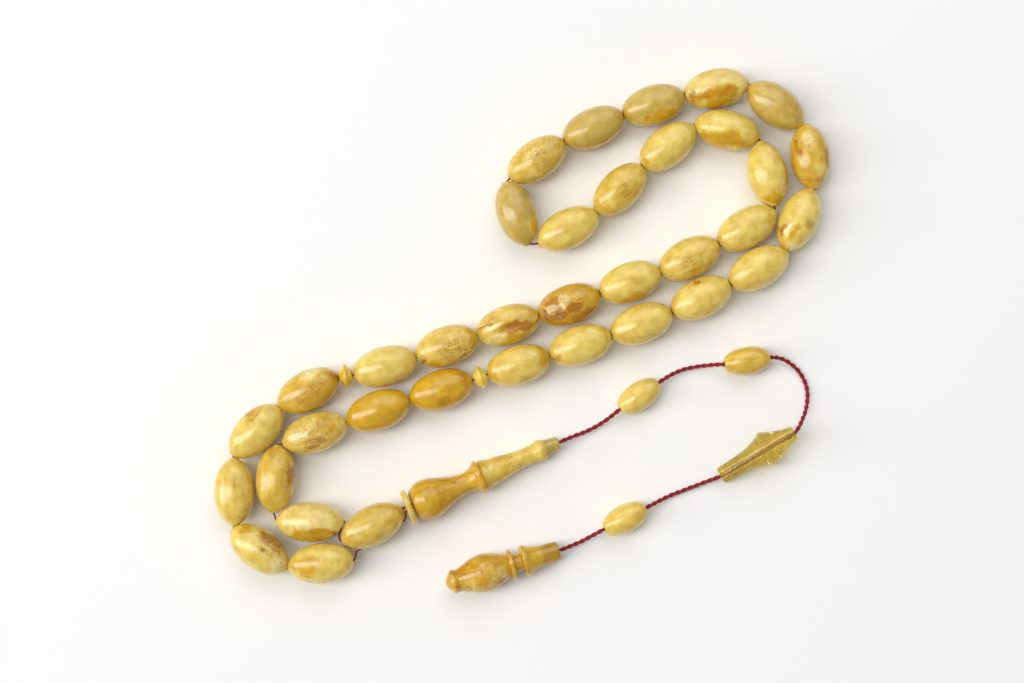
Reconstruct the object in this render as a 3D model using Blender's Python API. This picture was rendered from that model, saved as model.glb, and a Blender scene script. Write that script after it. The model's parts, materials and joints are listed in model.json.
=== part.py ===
# A misbaha: a closed loop of barrel-shaped amber beads on a thin thread, laid out on a table,
# with a turned leader where both ends of the thread leave the loop. The two ends are twisted
# into the tail cord, which carries three small beads, a turned spindle and a finial.
#
# X runs along the length of the laid-out string, Y across it and Z up. The origin is at table
# height, under the middle of the beads' box. Sizes are in millimetres, and an outline is a list
# of (distance along the piece, diameter there).

import math

import bmesh
import bpy
import numpy as np
from mathutils import Matrix, Vector

MM = 0.001

# Beads of the loop
BEAD_LENGTH = 15.1
BEAD_DIAMETER = 9.6
BEAD_FACE = 3.0  # flat ring round each mouth of the bore
BEAD_SIDES = 14
BEAD_RINGS = 7  # rings that shape the outside

# Separators, which mark off the beads in groups
SEPARATOR_LENGTH = 3.1
SEPARATOR_DIAMETER = 5.9
SEPARATOR_HUB = 3.2
SEPARATOR_RIM = 0.7
DISC_SHOULDER = 0.18  # share of a disc's thickness where its slope breaks, halfway out to the rim

# Collar disc between the first bead and the leader
COLLAR_DIAMETER = 8.8
COLLAR_HUB = 5.0
COLLAR_THICKNESS = 1.4
COLLAR_RIM = 0.7

# Small beads on the tail
TAIL_BEAD_LENGTH = 11.0
TAIL_BEAD_DIAMETER = 6.8
TAIL_BEAD_FACE = 2.8

# Thread of the loop and cord of the tail
THREAD_DIAMETER = 0.6
THREAD_CLEARANCE = 0.6  # all round the thread in a bead's bore
CORD_DIAMETER = 1.1
CORD_CLEARANCE = 0.45  # all round the cord in a bore
STRAND_GAP = 0.3  # between the two ends of the thread, side by side in the collar
STRAND_CLEARANCE = 0.85  # all round the pair
GAP = 0.3  # between pieces that touch
COLLAR_ROOM = 1.4  # between the first bead and the collar, where the second strand comes up
JOINT_GAP = 0.6  # between two lengths of cord at a bend
CORD_STEP = 2.75  # between the points that a length of cord runs through
CORD_MEETING = 0.25  # share of a piece's bore, from either mouth, where one stretch hands over

# Leader: face, bulb, neck, double flange, barrel, ring and tip
LEADER_FACE = 6.4
LEADER_BULB = 10.0
LEADER_BULB_REACH = 3.7
LEADER_NECK = 4.7
LEADER_NECK_REACH = 10.1
LEADER_FLANGE = 8.2
LEADER_FLANGE_REACH = 3.1
LEADER_FLANGE_THICKNESS = 0.9
LEADER_GROOVE = 6.9
LEADER_GROOVE_WIDTH = 0.4
LEADER_RING = 7.5
LEADER_RING_THICKNESS = 0.9
LEADER_WAIST = 4.3
LEADER_WAIST_REACH = 7.8
LEADER_BARREL_REACH = 6.0
LEADER_BEAD = 5.4
LEADER_BEAD_THICKNESS = 0.7
LEADER_TIP = 3.2
LEADER_TIP_REACH = 4.5
LEADER_POCKET_DEPTH = 8.0  # wide bore for the two strands, before the cord's own bore

# Spindle: plain mouth, trumpet, ridge, trumpet, plain mouth
SPINDLE_MOUTH = 3.5
SPINDLE_SLIM = 4.3
SPINDLE_SLIM_REACH = 2.0
SPINDLE_RISE = 5.2
SPINDLE_RIDGE = 8.8
SPINDLE_RIDGE_WIDTH = 0.9
SPINDLE_FALL = 6.1
SPINDLE_STEM = 4.9
SPINDLE_STEM_REACH = 6.2
SPINDLE_END = 4.2

# Finial: cup, two flanges, bulb, button and point
FINIAL_MOUTH = 4.5
FINIAL_WAIST = 4.7
FINIAL_WAIST_REACH = 4.0
FINIAL_CUP_REACH = 4.1
FINIAL_FLANGE = 7.5
FINIAL_FLANGE_THICKNESS = 0.9
FINIAL_GROOVE = 4.3
FINIAL_GROOVE_WIDTH = 2.3
FINIAL_BULB_FOOT = 5.0
FINIAL_BULB = 9.2
FINIAL_BULB_REACH = 6.6
FINIAL_BULB_END = 5.0
FINIAL_BULB_FALL = 6.9
FINIAL_BUTTON = 5.8
FINIAL_BUTTON_THICKNESS = 0.8
FINIAL_POINT = 1.2
FINIAL_POINT_REACH = 1.5
FINIAL_BORE_DEPTH = 17.0
KNOT_DIAMETER = 1.7
KNOT_POCKET_CLEARANCE = 0.35

TURNED_SIDES = 16
SMALL_SIDES = 12

# Where the leader's face stands, and which way the leader points
LEADER_PLACE = (-26.8, -40.9)
LEADER_HEADING = 23.5
FIRST_BEAD_HEADING = 27.5

# The thread's way round the loop, from the first bead back to the leader: each step names what
# lies on the thread up to the next point, and a step of bare thread crosses a slack bend.
LOOP_START = (-28.5, -42.0)
LOOP_ROUTE = [
    ("bead", (-42.5, -49.0)),
    ("thread", (-43.8, -44.5)),
    ("bead", (-58.0, -42.0)),
    ("bead", (-57.5, -26.5)),
    ("bead", (-42.5, -20.5)),
    ("bead", (-27.0, -15.0)),
    ("bead", (-12.0, -10.5)),
    ("separator", (-9.0, -9.0)),
    ("bead", (6.0, -4.5)),
    ("bead", (21.0, 0.0)),
    ("bead", (35.5, 5.5)),
    ("bead", (49.5, 12.5)),
    ("bead", (62.5, 21.0)),
    ("bead", (69.5, 35.5)),
    ("bead", (67.0, 50.5)),
    ("bead", (54.0, 60.0)),
    ("bead", (39.0, 58.5)),
    ("bead", (24.5, 54.0)),
    ("bead", (10.0, 47.5)),
    ("bead", (-3.5, 38.5)),
    ("thread", (-4.0, 37.5)),
    ("bead", (2.0, 23.0)),
    ("thread", (3.5, 22.0)),
    ("bead", (17.5, 30.5)),
    ("bead", (28.5, 41.0)),
    ("bead", (41.0, 50.0)),
    ("bead", (57.0, 47.5)),
    ("bead", (60.0, 31.5)),
    ("bead", (47.5, 22.0)),
    ("bead", (33.0, 16.0)),
    ("bead", (18.0, 10.0)),
    ("bead", (3.5, 4.5)),
    ("bead", (-11.0, -0.5)),
    ("bead", (-26.0, -5.5)),
    ("bead", (-41.0, -10.0)),
    ("separator", (-45.0, -11.0)),
    ("bead", (-59.0, -17.5)),
    ("bead", (-68.5, -30.0)),
    ("bead", (-68.0, -45.0)),
    ("bead", (-56.5, -55.0)),
    ("bead", (-40.5, -52.0)),
]
ROUTE_BEAD_LENGTH = 15.1  # the bead length that the route was laid out for

# Ways of the thread round a bead, in shares of the bead's half length along it, its radius
# across it and its height above the table: the second strand passes under the first bead and
# up into the collar, and the first strand dips on its way from the first bead to the second
UNDER_FIRST_BEAD = [
    (0.82, 0.77, 0.84),
    (0.60, 0.75, 0.50),
    (0.31, 0.73, 0.21),
    (-0.05, 0.71, 0.12),
    (-0.42, 0.69, 0.20),
    (-0.68, 0.62, 0.36),
    (-0.88, 0.51, 0.55),
    (-1.03, 0.41, 0.72),
    (-1.09, 0.24, 0.87),
]
OUT_OF_FIRST_BEAD = [(1.12, -0.15, 0.79), (1.07, -0.42, 0.56)]
INTO_SECOND_BEAD = [(-0.98, 0.27, 0.46), (-1.045, 0.02, 0.60), (-1.055, 0.0, 0.79)]

# Pieces of the tail: the middle of each small bead and its heading, and the mouth where the cord
# enters the spindle and the finial and the way they point from there
TAIL_BEADS = [((27.4, -14.6), 34.5), ((53.4, -6.1), 8.8), ((23.9, -43.9), 207.1)]
SPINDLE_PLACE = (64.3, -23.5)
SPINDLE_HEADING = 210.6
FINIAL_PLACE = (8.0, -51.5)
FINIAL_HEADING = 196.4

# The tail cord's way across the table between its pieces, with its height above the table
TAIL_STRETCHES = [
    [(11.4, -24.3, 2.0), (15.6, -22.6, 1.4), (19.4, -20.4, 2.2)],
    [(35.2, -9.4, 2.2), (38.4, -8.0, 1.3), (42.0, -7.3, 1.2), (45.4, -7.0, 2.1)],
    [
        (61.6, -5.4, 2.1),
        (64.0, -6.5, 1.1),
        (66.2, -8.5, 0.7),
        (67.7, -11.2, 0.6),
        (68.2, -13.9, 0.9),
        (67.8, -16.8, 1.9),
        (66.7, -19.7, 3.7),
    ],
    [(43.2, -35.2, 1.4), (39.0, -36.8, 0.9), (34.8, -38.4, 1.2), (31.9, -39.8, 2.1)],
    [(16.0, -48.0, 2.5), (13.6, -49.3, 1.9), (11.0, -50.4, 1.9)],
]
STRAND_DEPTH = 4.3  # how far the two strands reach into the leader
CORD_START = 4.8  # where the twisted cord takes over

STRAIGHT_LEAD = 0.42  # thread that runs straight on out of a bore before it turns
SETTLE_STEPS = 260
SETTLE_MARGIN = 0.14  # room that the contact circles leave out of account
TABLE_GRIP = 0.05  # share of its way back to its laid-out place that a piece moves at each step
THREAD_PULL = 0.4  # share of its slack that the thread takes up at each step
CONTACT_SPREAD = 0.66  # share of a piece's half length that its seven middle circles cover


def material(name, colour, roughness, subsurface=0.0):
    """A Principled material with the piece's plain colour."""
    made = bpy.data.materials.new(name)
    made.use_nodes = True
    shader = made.node_tree.nodes["Principled BSDF"]
    shader.inputs["Base Color"].default_value = (*colour, 1.0)
    shader.inputs["Roughness"].default_value = roughness
    shader.inputs["Metallic"].default_value = 0.0
    shader.inputs["Subsurface Weight"].default_value = subsurface
    made.diffuse_color = (*colour, 1.0)
    return made


def smooth_run(points, steps):
    """Points of a Catmull-Rom curve through the given ones, with `steps` to each span."""
    known = np.array(points, dtype=float)
    padded = np.vstack([2 * known[0] - known[1], known, 2 * known[-1] - known[-2]])
    made = []
    for a, b, c, d in zip(padded, padded[1:], padded[2:], padded[3:]):
        for t in np.arange(steps) / steps:
            made.append(
                0.5
                * (
                    2 * b
                    + (c - a) * t
                    + (2 * a - 5 * b + 4 * c - d) * t**2
                    + (3 * b - a - 3 * c + d) * t**3
                )
            )
    made.append(known[-1])
    return [tuple(float(value) for value in point) for point in made]


def even_path(points, spacing):
    """The smooth curve through 3-D points, resampled about evenly."""
    fine = np.array(smooth_run(points, 12))
    lengths = np.linalg.norm(np.diff(fine, axis=0), axis=1)
    travelled = np.concatenate([[0.0], np.cumsum(lengths)])
    count = max(2, round(travelled[-1] / spacing) + 1)
    wanted = np.linspace(0.0, travelled[-1], count)
    return np.column_stack([np.interp(wanted, travelled, fine[:, axis]) for axis in range(3)])


def barrel_outline(length, diameter, face, rings):
    """An ellipsoid cut off square at both ends, leaving a flat face of the given diameter."""
    reach = length / 2 / math.sqrt(1 - (face / diameter) ** 2)
    end_angle = math.acos(length / 2 / reach)
    angles = np.linspace(math.pi - end_angle, end_angle, rings)
    return [
        (length / 2 + reach * math.cos(angle), diameter * math.sin(angle)) for angle in angles
    ]


def disc_outline(length, diameter, hub, rim):
    """A lens: two hub faces and a narrow rim."""
    return [
        (0.0, hub),
        (length * DISC_SHOULDER, (hub + diameter) / 2),
        ((length - rim) / 2, diameter),
        ((length + rim) / 2, diameter),
        (length * (1 - DISC_SHOULDER), (hub + diameter) / 2),
        (length, hub),
    ]


def leader_outline():
    bulb = LEADER_BULB_REACH
    neck = bulb + LEADER_NECK_REACH
    flange = neck + LEADER_FLANGE_REACH
    groove = flange + LEADER_FLANGE_THICKNESS
    ring = groove + LEADER_GROOVE_WIDTH
    barrel = ring + LEADER_RING_THICKNESS
    waist = barrel + LEADER_WAIST_REACH
    bead = waist + LEADER_BARREL_REACH
    tip = bead + LEADER_BEAD_THICKNESS
    end = tip + LEADER_TIP_REACH
    shoulder = LEADER_BULB * 0.8 + LEADER_NECK * 0.2
    throat = LEADER_BULB * 0.15 + LEADER_NECK * 0.85
    body = [
        (0.0, LEADER_FACE),
        (bulb * 0.45, LEADER_FACE * 0.3 + LEADER_BULB * 0.7),
        (bulb, LEADER_BULB),
        (bulb + LEADER_NECK_REACH * 0.4, shoulder),
        (bulb + LEADER_NECK_REACH * 0.78, throat),
        (neck, LEADER_NECK),
        (flange - LEADER_FLANGE_REACH * 0.3, LEADER_NECK * 0.7 + LEADER_FLANGE * 0.3),
        (flange, LEADER_FLANGE * 0.95),
    ]
    stem = [
        (barrel, LEADER_RING - 0.4),
        (barrel + LEADER_WAIST_REACH * 0.4, LEADER_RING * 0.55 + LEADER_WAIST * 0.45),
        (waist, LEADER_WAIST),
        (bead - LEADER_BARREL_REACH * 0.35, LEADER_WAIST * 1.03),
        (bead, LEADER_BEAD),
    ]
    crisp = [
        (flange + 0.15, LEADER_FLANGE),
        (groove, LEADER_FLANGE),
        (groove, LEADER_GROOVE),
        (ring, LEADER_GROOVE),
        (ring, LEADER_RING),
        (barrel, LEADER_RING),
    ]
    return smooth_run(body, 2) + crisp + smooth_run(stem, 2) + [(tip, LEADER_BEAD), (end, LEADER_TIP)]


def spindle_outline():
    rise = SPINDLE_SLIM_REACH
    ridge = rise + SPINDLE_RISE
    fall = ridge + SPINDLE_RIDGE_WIDTH
    stem = fall + SPINDLE_FALL
    end = stem + SPINDLE_STEM_REACH
    first = [
        (0.0, SPINDLE_MOUTH),
        (rise, SPINDLE_SLIM),
        (rise + SPINDLE_RISE * 0.45, SPINDLE_SLIM * 0.72 + SPINDLE_RIDGE * 0.28),
        (ridge, SPINDLE_RIDGE),
    ]
    second = [
        (fall, SPINDLE_RIDGE),
        (fall + SPINDLE_FALL * 0.5, SPINDLE_STEM * 0.6 + SPINDLE_RIDGE * 0.4),
        (stem, SPINDLE_STEM),
        (end, SPINDLE_END),
    ]
    return smooth_run(first, 3) + smooth_run(second, 3)


def finial_outline():
    waist = FINIAL_WAIST_REACH
    cup = waist + FINIAL_CUP_REACH
    groove = cup + FINIAL_FLANGE_THICKNESS
    flange = groove + FINIAL_GROOVE_WIDTH
    foot = flange + FINIAL_FLANGE_THICKNESS
    bulb = foot + FINIAL_BULB_REACH
    fall = bulb + FINIAL_BULB_FALL
    button = fall + FINIAL_BUTTON_THICKNESS
    cup_run = [
        (0.0, FINIAL_MOUTH),
        (waist, FINIAL_WAIST),
        (cup - FINIAL_CUP_REACH * 0.4, FINIAL_WAIST * 0.65 + FINIAL_FLANGE * 0.35),
        (cup, FINIAL_FLANGE),
    ]
    bulb_run = [
        (foot, FINIAL_BULB_FOOT),
        (foot + FINIAL_BULB_REACH * 0.45, FINIAL_BULB_FOOT * 0.3 + FINIAL_BULB * 0.7),
        (bulb, FINIAL_BULB),
        (bulb + FINIAL_BULB_FALL * 0.55, FINIAL_BULB_END * 0.3 + FINIAL_BULB * 0.7),
        (fall, FINIAL_BULB_END),
    ]
    flanges = [
        (groove, FINIAL_FLANGE),
        (groove, FINIAL_GROOVE),
        (flange, FINIAL_GROOVE),
        (flange, FINIAL_FLANGE),
        (foot, FINIAL_FLANGE),
    ]
    end = [
        (fall, FINIAL_BUTTON),
        (button, FINIAL_BUTTON),
        (button + FINIAL_POINT_REACH, FINIAL_POINT),
    ]
    return smooth_run(cup_run, 3) + flanges + smooth_run(bulb_run, 2) + end


def turned_mesh(name, outline, bore, sides):
    """Spin an outline, closed along its bore, about the X axis."""
    bm = bmesh.new()
    profile = [(x, diameter / 2) for x, diameter in outline + bore[::-1]]
    corners = [bm.verts.new((x * MM, radius * MM, 0.0)) for x, radius in profile]
    edges = [bm.edges.new(pair) for pair in zip(corners, corners[1:])]
    if profile[-1][1] > 0:
        edges.append(bm.edges.new((corners[-1], corners[0])))
    bmesh.ops.spin(
        bm,
        geom=corners + edges,
        cent=(0, 0, 0),
        axis=(1, 0, 0),
        angle=2 * math.pi,
        steps=sides,
        use_merge=True,
    )
    bmesh.ops.remove_doubles(bm, verts=bm.verts, dist=1e-6)
    bmesh.ops.recalc_face_normals(bm, faces=bm.faces)
    mesh = bpy.data.meshes.new(name)
    bm.to_mesh(mesh)
    bm.free()
    mesh.shade_smooth()
    mesh.set_sharp_from_angle(angle=math.radians(35))
    return mesh


def straight_bore(length, diameter):
    return [(0.0, diameter), (length, diameter)]


def place_mesh(name, mesh, finish, matrix):
    """An object made of the mesh, in its finish, standing at the given matrix."""
    made = bpy.data.objects.new(name, mesh)
    if not mesh.materials:
        mesh.materials.append(finish)
    made.matrix_world = matrix
    bpy.context.collection.objects.link(made)
    return made


def along(place, height, heading, tilt=0.0):
    """The matrix of a turned piece: its axis starts at `place` and points along `heading`."""
    turn = Matrix.Rotation(math.radians(heading), 4, "Z") @ Matrix.Rotation(tilt, 4, "Y")
    return Matrix.Translation(Vector((place[0], place[1], height)) * MM) @ turn


def lie_on_table(outline):
    """The downward tilt and the height of the start of a turned piece at rest.

    It rests on the two rims whose line lies outside every other rim and spans its middle.
    """
    points = np.array(outline)
    x = points[:, 0]
    radius = points[:, 1] / 2
    slices = np.diff(x) * (radius[1:] ** 2 + radius[1:] * radius[:-1] + radius[:-1] ** 2)
    middle = float(np.sum(slices * (x[1:] + x[:-1]) / 2) / np.sum(slices))
    before = np.flatnonzero(x <= middle)
    after = np.flatnonzero(x > middle)
    for i in before:
        for j in after:
            slope = (radius[j] - radius[i]) / (x[j] - x[i])
            if np.all(radius <= radius[i] + slope * (x - x[i]) + 1e-9):
                tilt = math.atan(-slope)
                start = (radius[i] - slope * x[i]) * math.cos(tilt)
                return tilt, start
    raise ValueError("an outline needs rims on both sides of its middle")


def contact_circles(outline):
    """Circles that fill a flat outline: some along its axis, and one at each end's corners."""
    points = np.array(smooth_run(outline, 4))
    half = points[-1, 0] / 2
    rim = np.column_stack([points[:, 0] - half, points[:, 1] / 2])
    circles = []
    for x in np.linspace(-CONTACT_SPREAD, CONTACT_SPREAD, 7) * half:
        reach = min(np.min(np.hypot(rim[:, 0] - x, rim[:, 1])), half - abs(x))
        circles.append((x, 0.0, float(reach)))
    corner = min(0.35, half / 4)
    for end in (-1, 1):
        for side in (-1, 1):
            circles.append((end * (half - corner), side * (rim[0, 1] - corner / 2), corner))
    return circles


class Strand:
    """The pieces on the loop as flat rigid bodies, which settle clear of each other."""

    def __init__(self, outlines):
        self.kinds = []
        self.slack = []
        scale = BEAD_LENGTH / ROUTE_BEAD_LENGTH
        start = np.array(LOOP_START)
        here = start
        middles = []
        turns = []
        slack = GAP
        for kind, point in LOOP_ROUTE:
            there = start + (np.array(point) - start) * scale
            if kind == "thread":
                slack = float(np.linalg.norm(there - here))
            else:
                self.kinds.append(kind)
                self.slack.append(slack)
                middles.append((here + there) / 2)
                turns.append(math.atan2(there[1] - here[1], there[0] - here[0]))
                slack = GAP
            here = there
        self.middles = np.array(middles)
        self.turns = np.array(turns)
        self.laid_middles = self.middles.copy()
        self.laid_turns = self.turns.copy()
        self.halves = np.array([outlines[kind][-1][0] / 2 for kind in self.kinds])
        circles = np.array([contact_circles(outlines[kind]) for kind in self.kinds])
        self.circles = circles
        self.inertia = self.halves**2 / 4 + 1.0

    def heads(self):
        return np.column_stack([np.cos(self.turns), np.sin(self.turns)])

    def tips(self):
        reach = self.heads() * self.halves[:, None]
        return self.middles - reach, self.middles + reach

    def move(self, index, arm, push):
        """Push a piece at a point: it slides and turns as a rigid body does."""
        length = float(np.linalg.norm(push))
        if length == 0:
            return
        lever = (arm[0] * push[1] - arm[1] * push[0]) / length
        share = 1 / (1 + lever**2 / self.inertia[index])
        self.middles[index] += push * share
        self.turns[index] += share * lever * length / self.inertia[index]

    def hold_first(self, mouth):
        """Keep the first bead at the collar, pointing along its own heading."""
        heading = math.radians(FIRST_BEAD_HEADING)
        back = np.array([math.cos(heading), math.sin(heading)])
        self.turns[0] = heading + math.pi
        self.middles[0] = np.array(mouth) - back * self.halves[0]

    def pull_thread(self, stiffness):
        """Bring neighbouring mouths to the length of thread between them."""
        for index in range(1, len(self.kinds)):
            starts, ends = self.tips()
            gap = starts[index] - ends[index - 1]
            length = float(np.linalg.norm(gap)) or 1e-6
            push = gap / length * (length - self.slack[index]) * stiffness / 2
            self.move(index - 1, ends[index - 1] - self.middles[index - 1], push)
            self.move(index, starts[index] - self.middles[index], -push)

    def part_pieces(self):
        """Move each overlapping pair apart at its deepest contact."""
        heads = self.heads()
        sides = np.column_stack([-heads[:, 1], heads[:, 0]])
        spots = (
            self.middles[:, None]
            + self.circles[..., :1] * heads[:, None]
            + self.circles[..., 1:2] * sides[:, None]
        )
        radii = self.circles[..., 2]
        count, each = radii.shape
        flat = spots.reshape(-1, 2)
        apart = np.linalg.norm(flat[:, None] - flat[None], axis=2)
        room = apart - radii.reshape(-1, 1) - radii.reshape(1, -1)
        room = room.reshape(count, each, count, each).transpose(0, 2, 1, 3)
        room = room.reshape(count, count, each * each)
        wanted = GAP + SETTLE_MARGIN
        for i, j in zip(*np.nonzero(np.triu(room.min(axis=2) < wanted, 1))):
            spot = int(np.argmin(room[i, j]))
            a = spots[i, spot // each]
            b = spots[j, spot % each]
            way = (b - a) / np.linalg.norm(b - a)
            push = way * (wanted - room[i, j, spot]) / 2
            self.move(i, a - self.middles[i], -push)
            self.move(j, b - self.middles[j], push)

    def thread(self):
        """The thread's points: through each bore, and straight on for part of each gap."""
        starts, ends = self.tips()
        gaps = np.linalg.norm(starts[1:] - ends[:-1], axis=1)
        leads = np.minimum(gaps * 0.3, STRAIGHT_LEAD)
        heads = self.heads()
        points = []
        for index, (start, end) in enumerate(zip(starts, ends)):
            into = leads[index - 1] if index else 0.0
            out = leads[index] if index < len(leads) else STRAIGHT_LEAD
            run = [start - heads[index] * into, start, end, end + heads[index] * out]
            points.append([(*point, BEAD_DIAMETER / 2) for point in run])
        return points

    def beside(self, index, shares):
        """Points round a bead, given in shares of its half length, radius and height."""
        head = self.heads()[index]
        across = np.array([-head[1], head[0]])
        return [
            (
                *(self.middles[index] + head * x * BEAD_LENGTH / 2 + across * y * BEAD_DIAMETER / 2),
                height * BEAD_DIAMETER / 2,
            )
            for x, y, height in shares
        ]

    def settle(self, mouth):
        """Let thread, table and neighbours act by turns, and the neighbours alone at the end."""
        for step in range(SETTLE_STEPS):
            slackening = max(0.0, 1 - step / (SETTLE_STEPS * 0.8))
            self.hold_first(mouth)
            self.pull_thread(THREAD_PULL * slackening)
            self.middles += (self.laid_middles - self.middles) * TABLE_GRIP * slackening
            self.turns += (self.laid_turns - self.turns) * TABLE_GRIP * slackening
            self.part_pieces()
        self.hold_first(mouth)


def tube(name, points, diameter, finish):
    """A round cord or thread along a polyline, closed at both ends."""
    curve = bpy.data.curves.new(name, "CURVE")
    curve.dimensions = "3D"
    curve.bevel_depth = diameter / 2 * MM
    curve.bevel_resolution = 2
    curve.use_fill_caps = True
    curve.materials.append(finish)
    spline = curve.splines.new("POLY")
    spline.points.add(len(points) - 1)
    for corner, point in zip(spline.points, points):
        corner.co = (*(np.array(point) * MM), 1.0)
    made = bpy.data.objects.new(name, curve)
    bpy.context.collection.objects.link(made)
    return made


def mouths(matrix, length):
    """Where a turned piece's axis enters and leaves it, in millimetres."""
    start = matrix @ Vector((0, 0, 0)) / MM
    end = matrix @ Vector((length * MM, 0, 0)) / MM
    return np.array(start), np.array(end)


def between(start, end, share):
    return start + (end - start) * share


def build_loop(amber, red, leader_matrix):
    """Beads, separators and collar on the thread, and the thread itself."""
    thread_bore = THREAD_DIAMETER + 2 * THREAD_CLEARANCE
    pair_bore = 2 * THREAD_DIAMETER + STRAND_GAP + 2 * STRAND_CLEARANCE
    bead = barrel_outline(BEAD_LENGTH, BEAD_DIAMETER, BEAD_FACE, BEAD_RINGS)
    separator = disc_outline(
        SEPARATOR_LENGTH, SEPARATOR_DIAMETER, SEPARATOR_HUB, SEPARATOR_RIM
    )
    outlines = {"bead": bead, "separator": separator}
    bores = {kind: straight_bore(made[-1][0], thread_bore) for kind, made in outlines.items()}
    sides = {"bead": BEAD_SIDES, "separator": SMALL_SIDES}
    meshes = {
        kind: turned_mesh(kind, outline, bores[kind], sides[kind])
        for kind, outline in outlines.items()
    }

    face = np.array(leader_matrix.translation)[:2] / MM
    way = math.radians(LEADER_HEADING)
    back = np.array([math.cos(way), math.sin(way)])
    collar_place = face - back * (GAP + COLLAR_THICKNESS)
    mouth = collar_place - back * COLLAR_ROOM
    strand = Strand(outlines)
    strand.settle(mouth)

    numbers = {"bead": 0, "separator": 0}
    for kind, start, turn in zip(strand.kinds, strand.tips()[0], strand.turns):
        numbers[kind] += 1
        name = f"{kind}_{numbers[kind]:02d}" if kind == "bead" else f"{kind}_{numbers[kind]}"
        matrix = along(start, BEAD_DIAMETER / 2, math.degrees(turn))
        middle = Matrix.Translation((-outlines[kind][-1][0] / 2 * MM, 0, 0))
        made = place_mesh(name, meshes[kind].copy(), amber[kind], matrix)
        made.data.transform(middle)
        made.matrix_world = matrix @ middle.inverted()

    collar = disc_outline(COLLAR_THICKNESS, COLLAR_DIAMETER, COLLAR_HUB, COLLAR_RIM)
    collar_mesh = turned_mesh(
        "collar", collar, straight_bore(COLLAR_THICKNESS, pair_bore), TURNED_SIDES
    )
    collar_matrix = leader_matrix @ Matrix.Translation((-(GAP + COLLAR_THICKNESS) * MM, 0, 0))
    place_mesh("collar_disc", collar_mesh, amber["collar"], collar_matrix)

    offset = (THREAD_DIAMETER + STRAND_GAP) / 2

    def strand_in_leader(side):
        """One strand's points at the collar's outer face and at its end inside the leader."""
        ends = (-GAP - COLLAR_THICKNESS, STRAND_DEPTH)
        points = [leader_matrix @ Vector((x * MM, side * offset * MM, 0)) / MM for x in ends]
        return [tuple(point) for point in points]

    spans = strand.thread()
    first = strand_in_leader(1)[::-1] + spans[0][1:]
    bend = strand.beside(0, OUT_OF_FIRST_BEAD) + strand.beside(1, INTO_SECOND_BEAD)
    rest = [point for span in spans[1:] for point in span]
    under = strand.beside(0, UNDER_FIRST_BEAD) + strand_in_leader(-1)
    tube("loop_thread", first + bend + rest + under, THREAD_DIAMETER, red)


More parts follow.
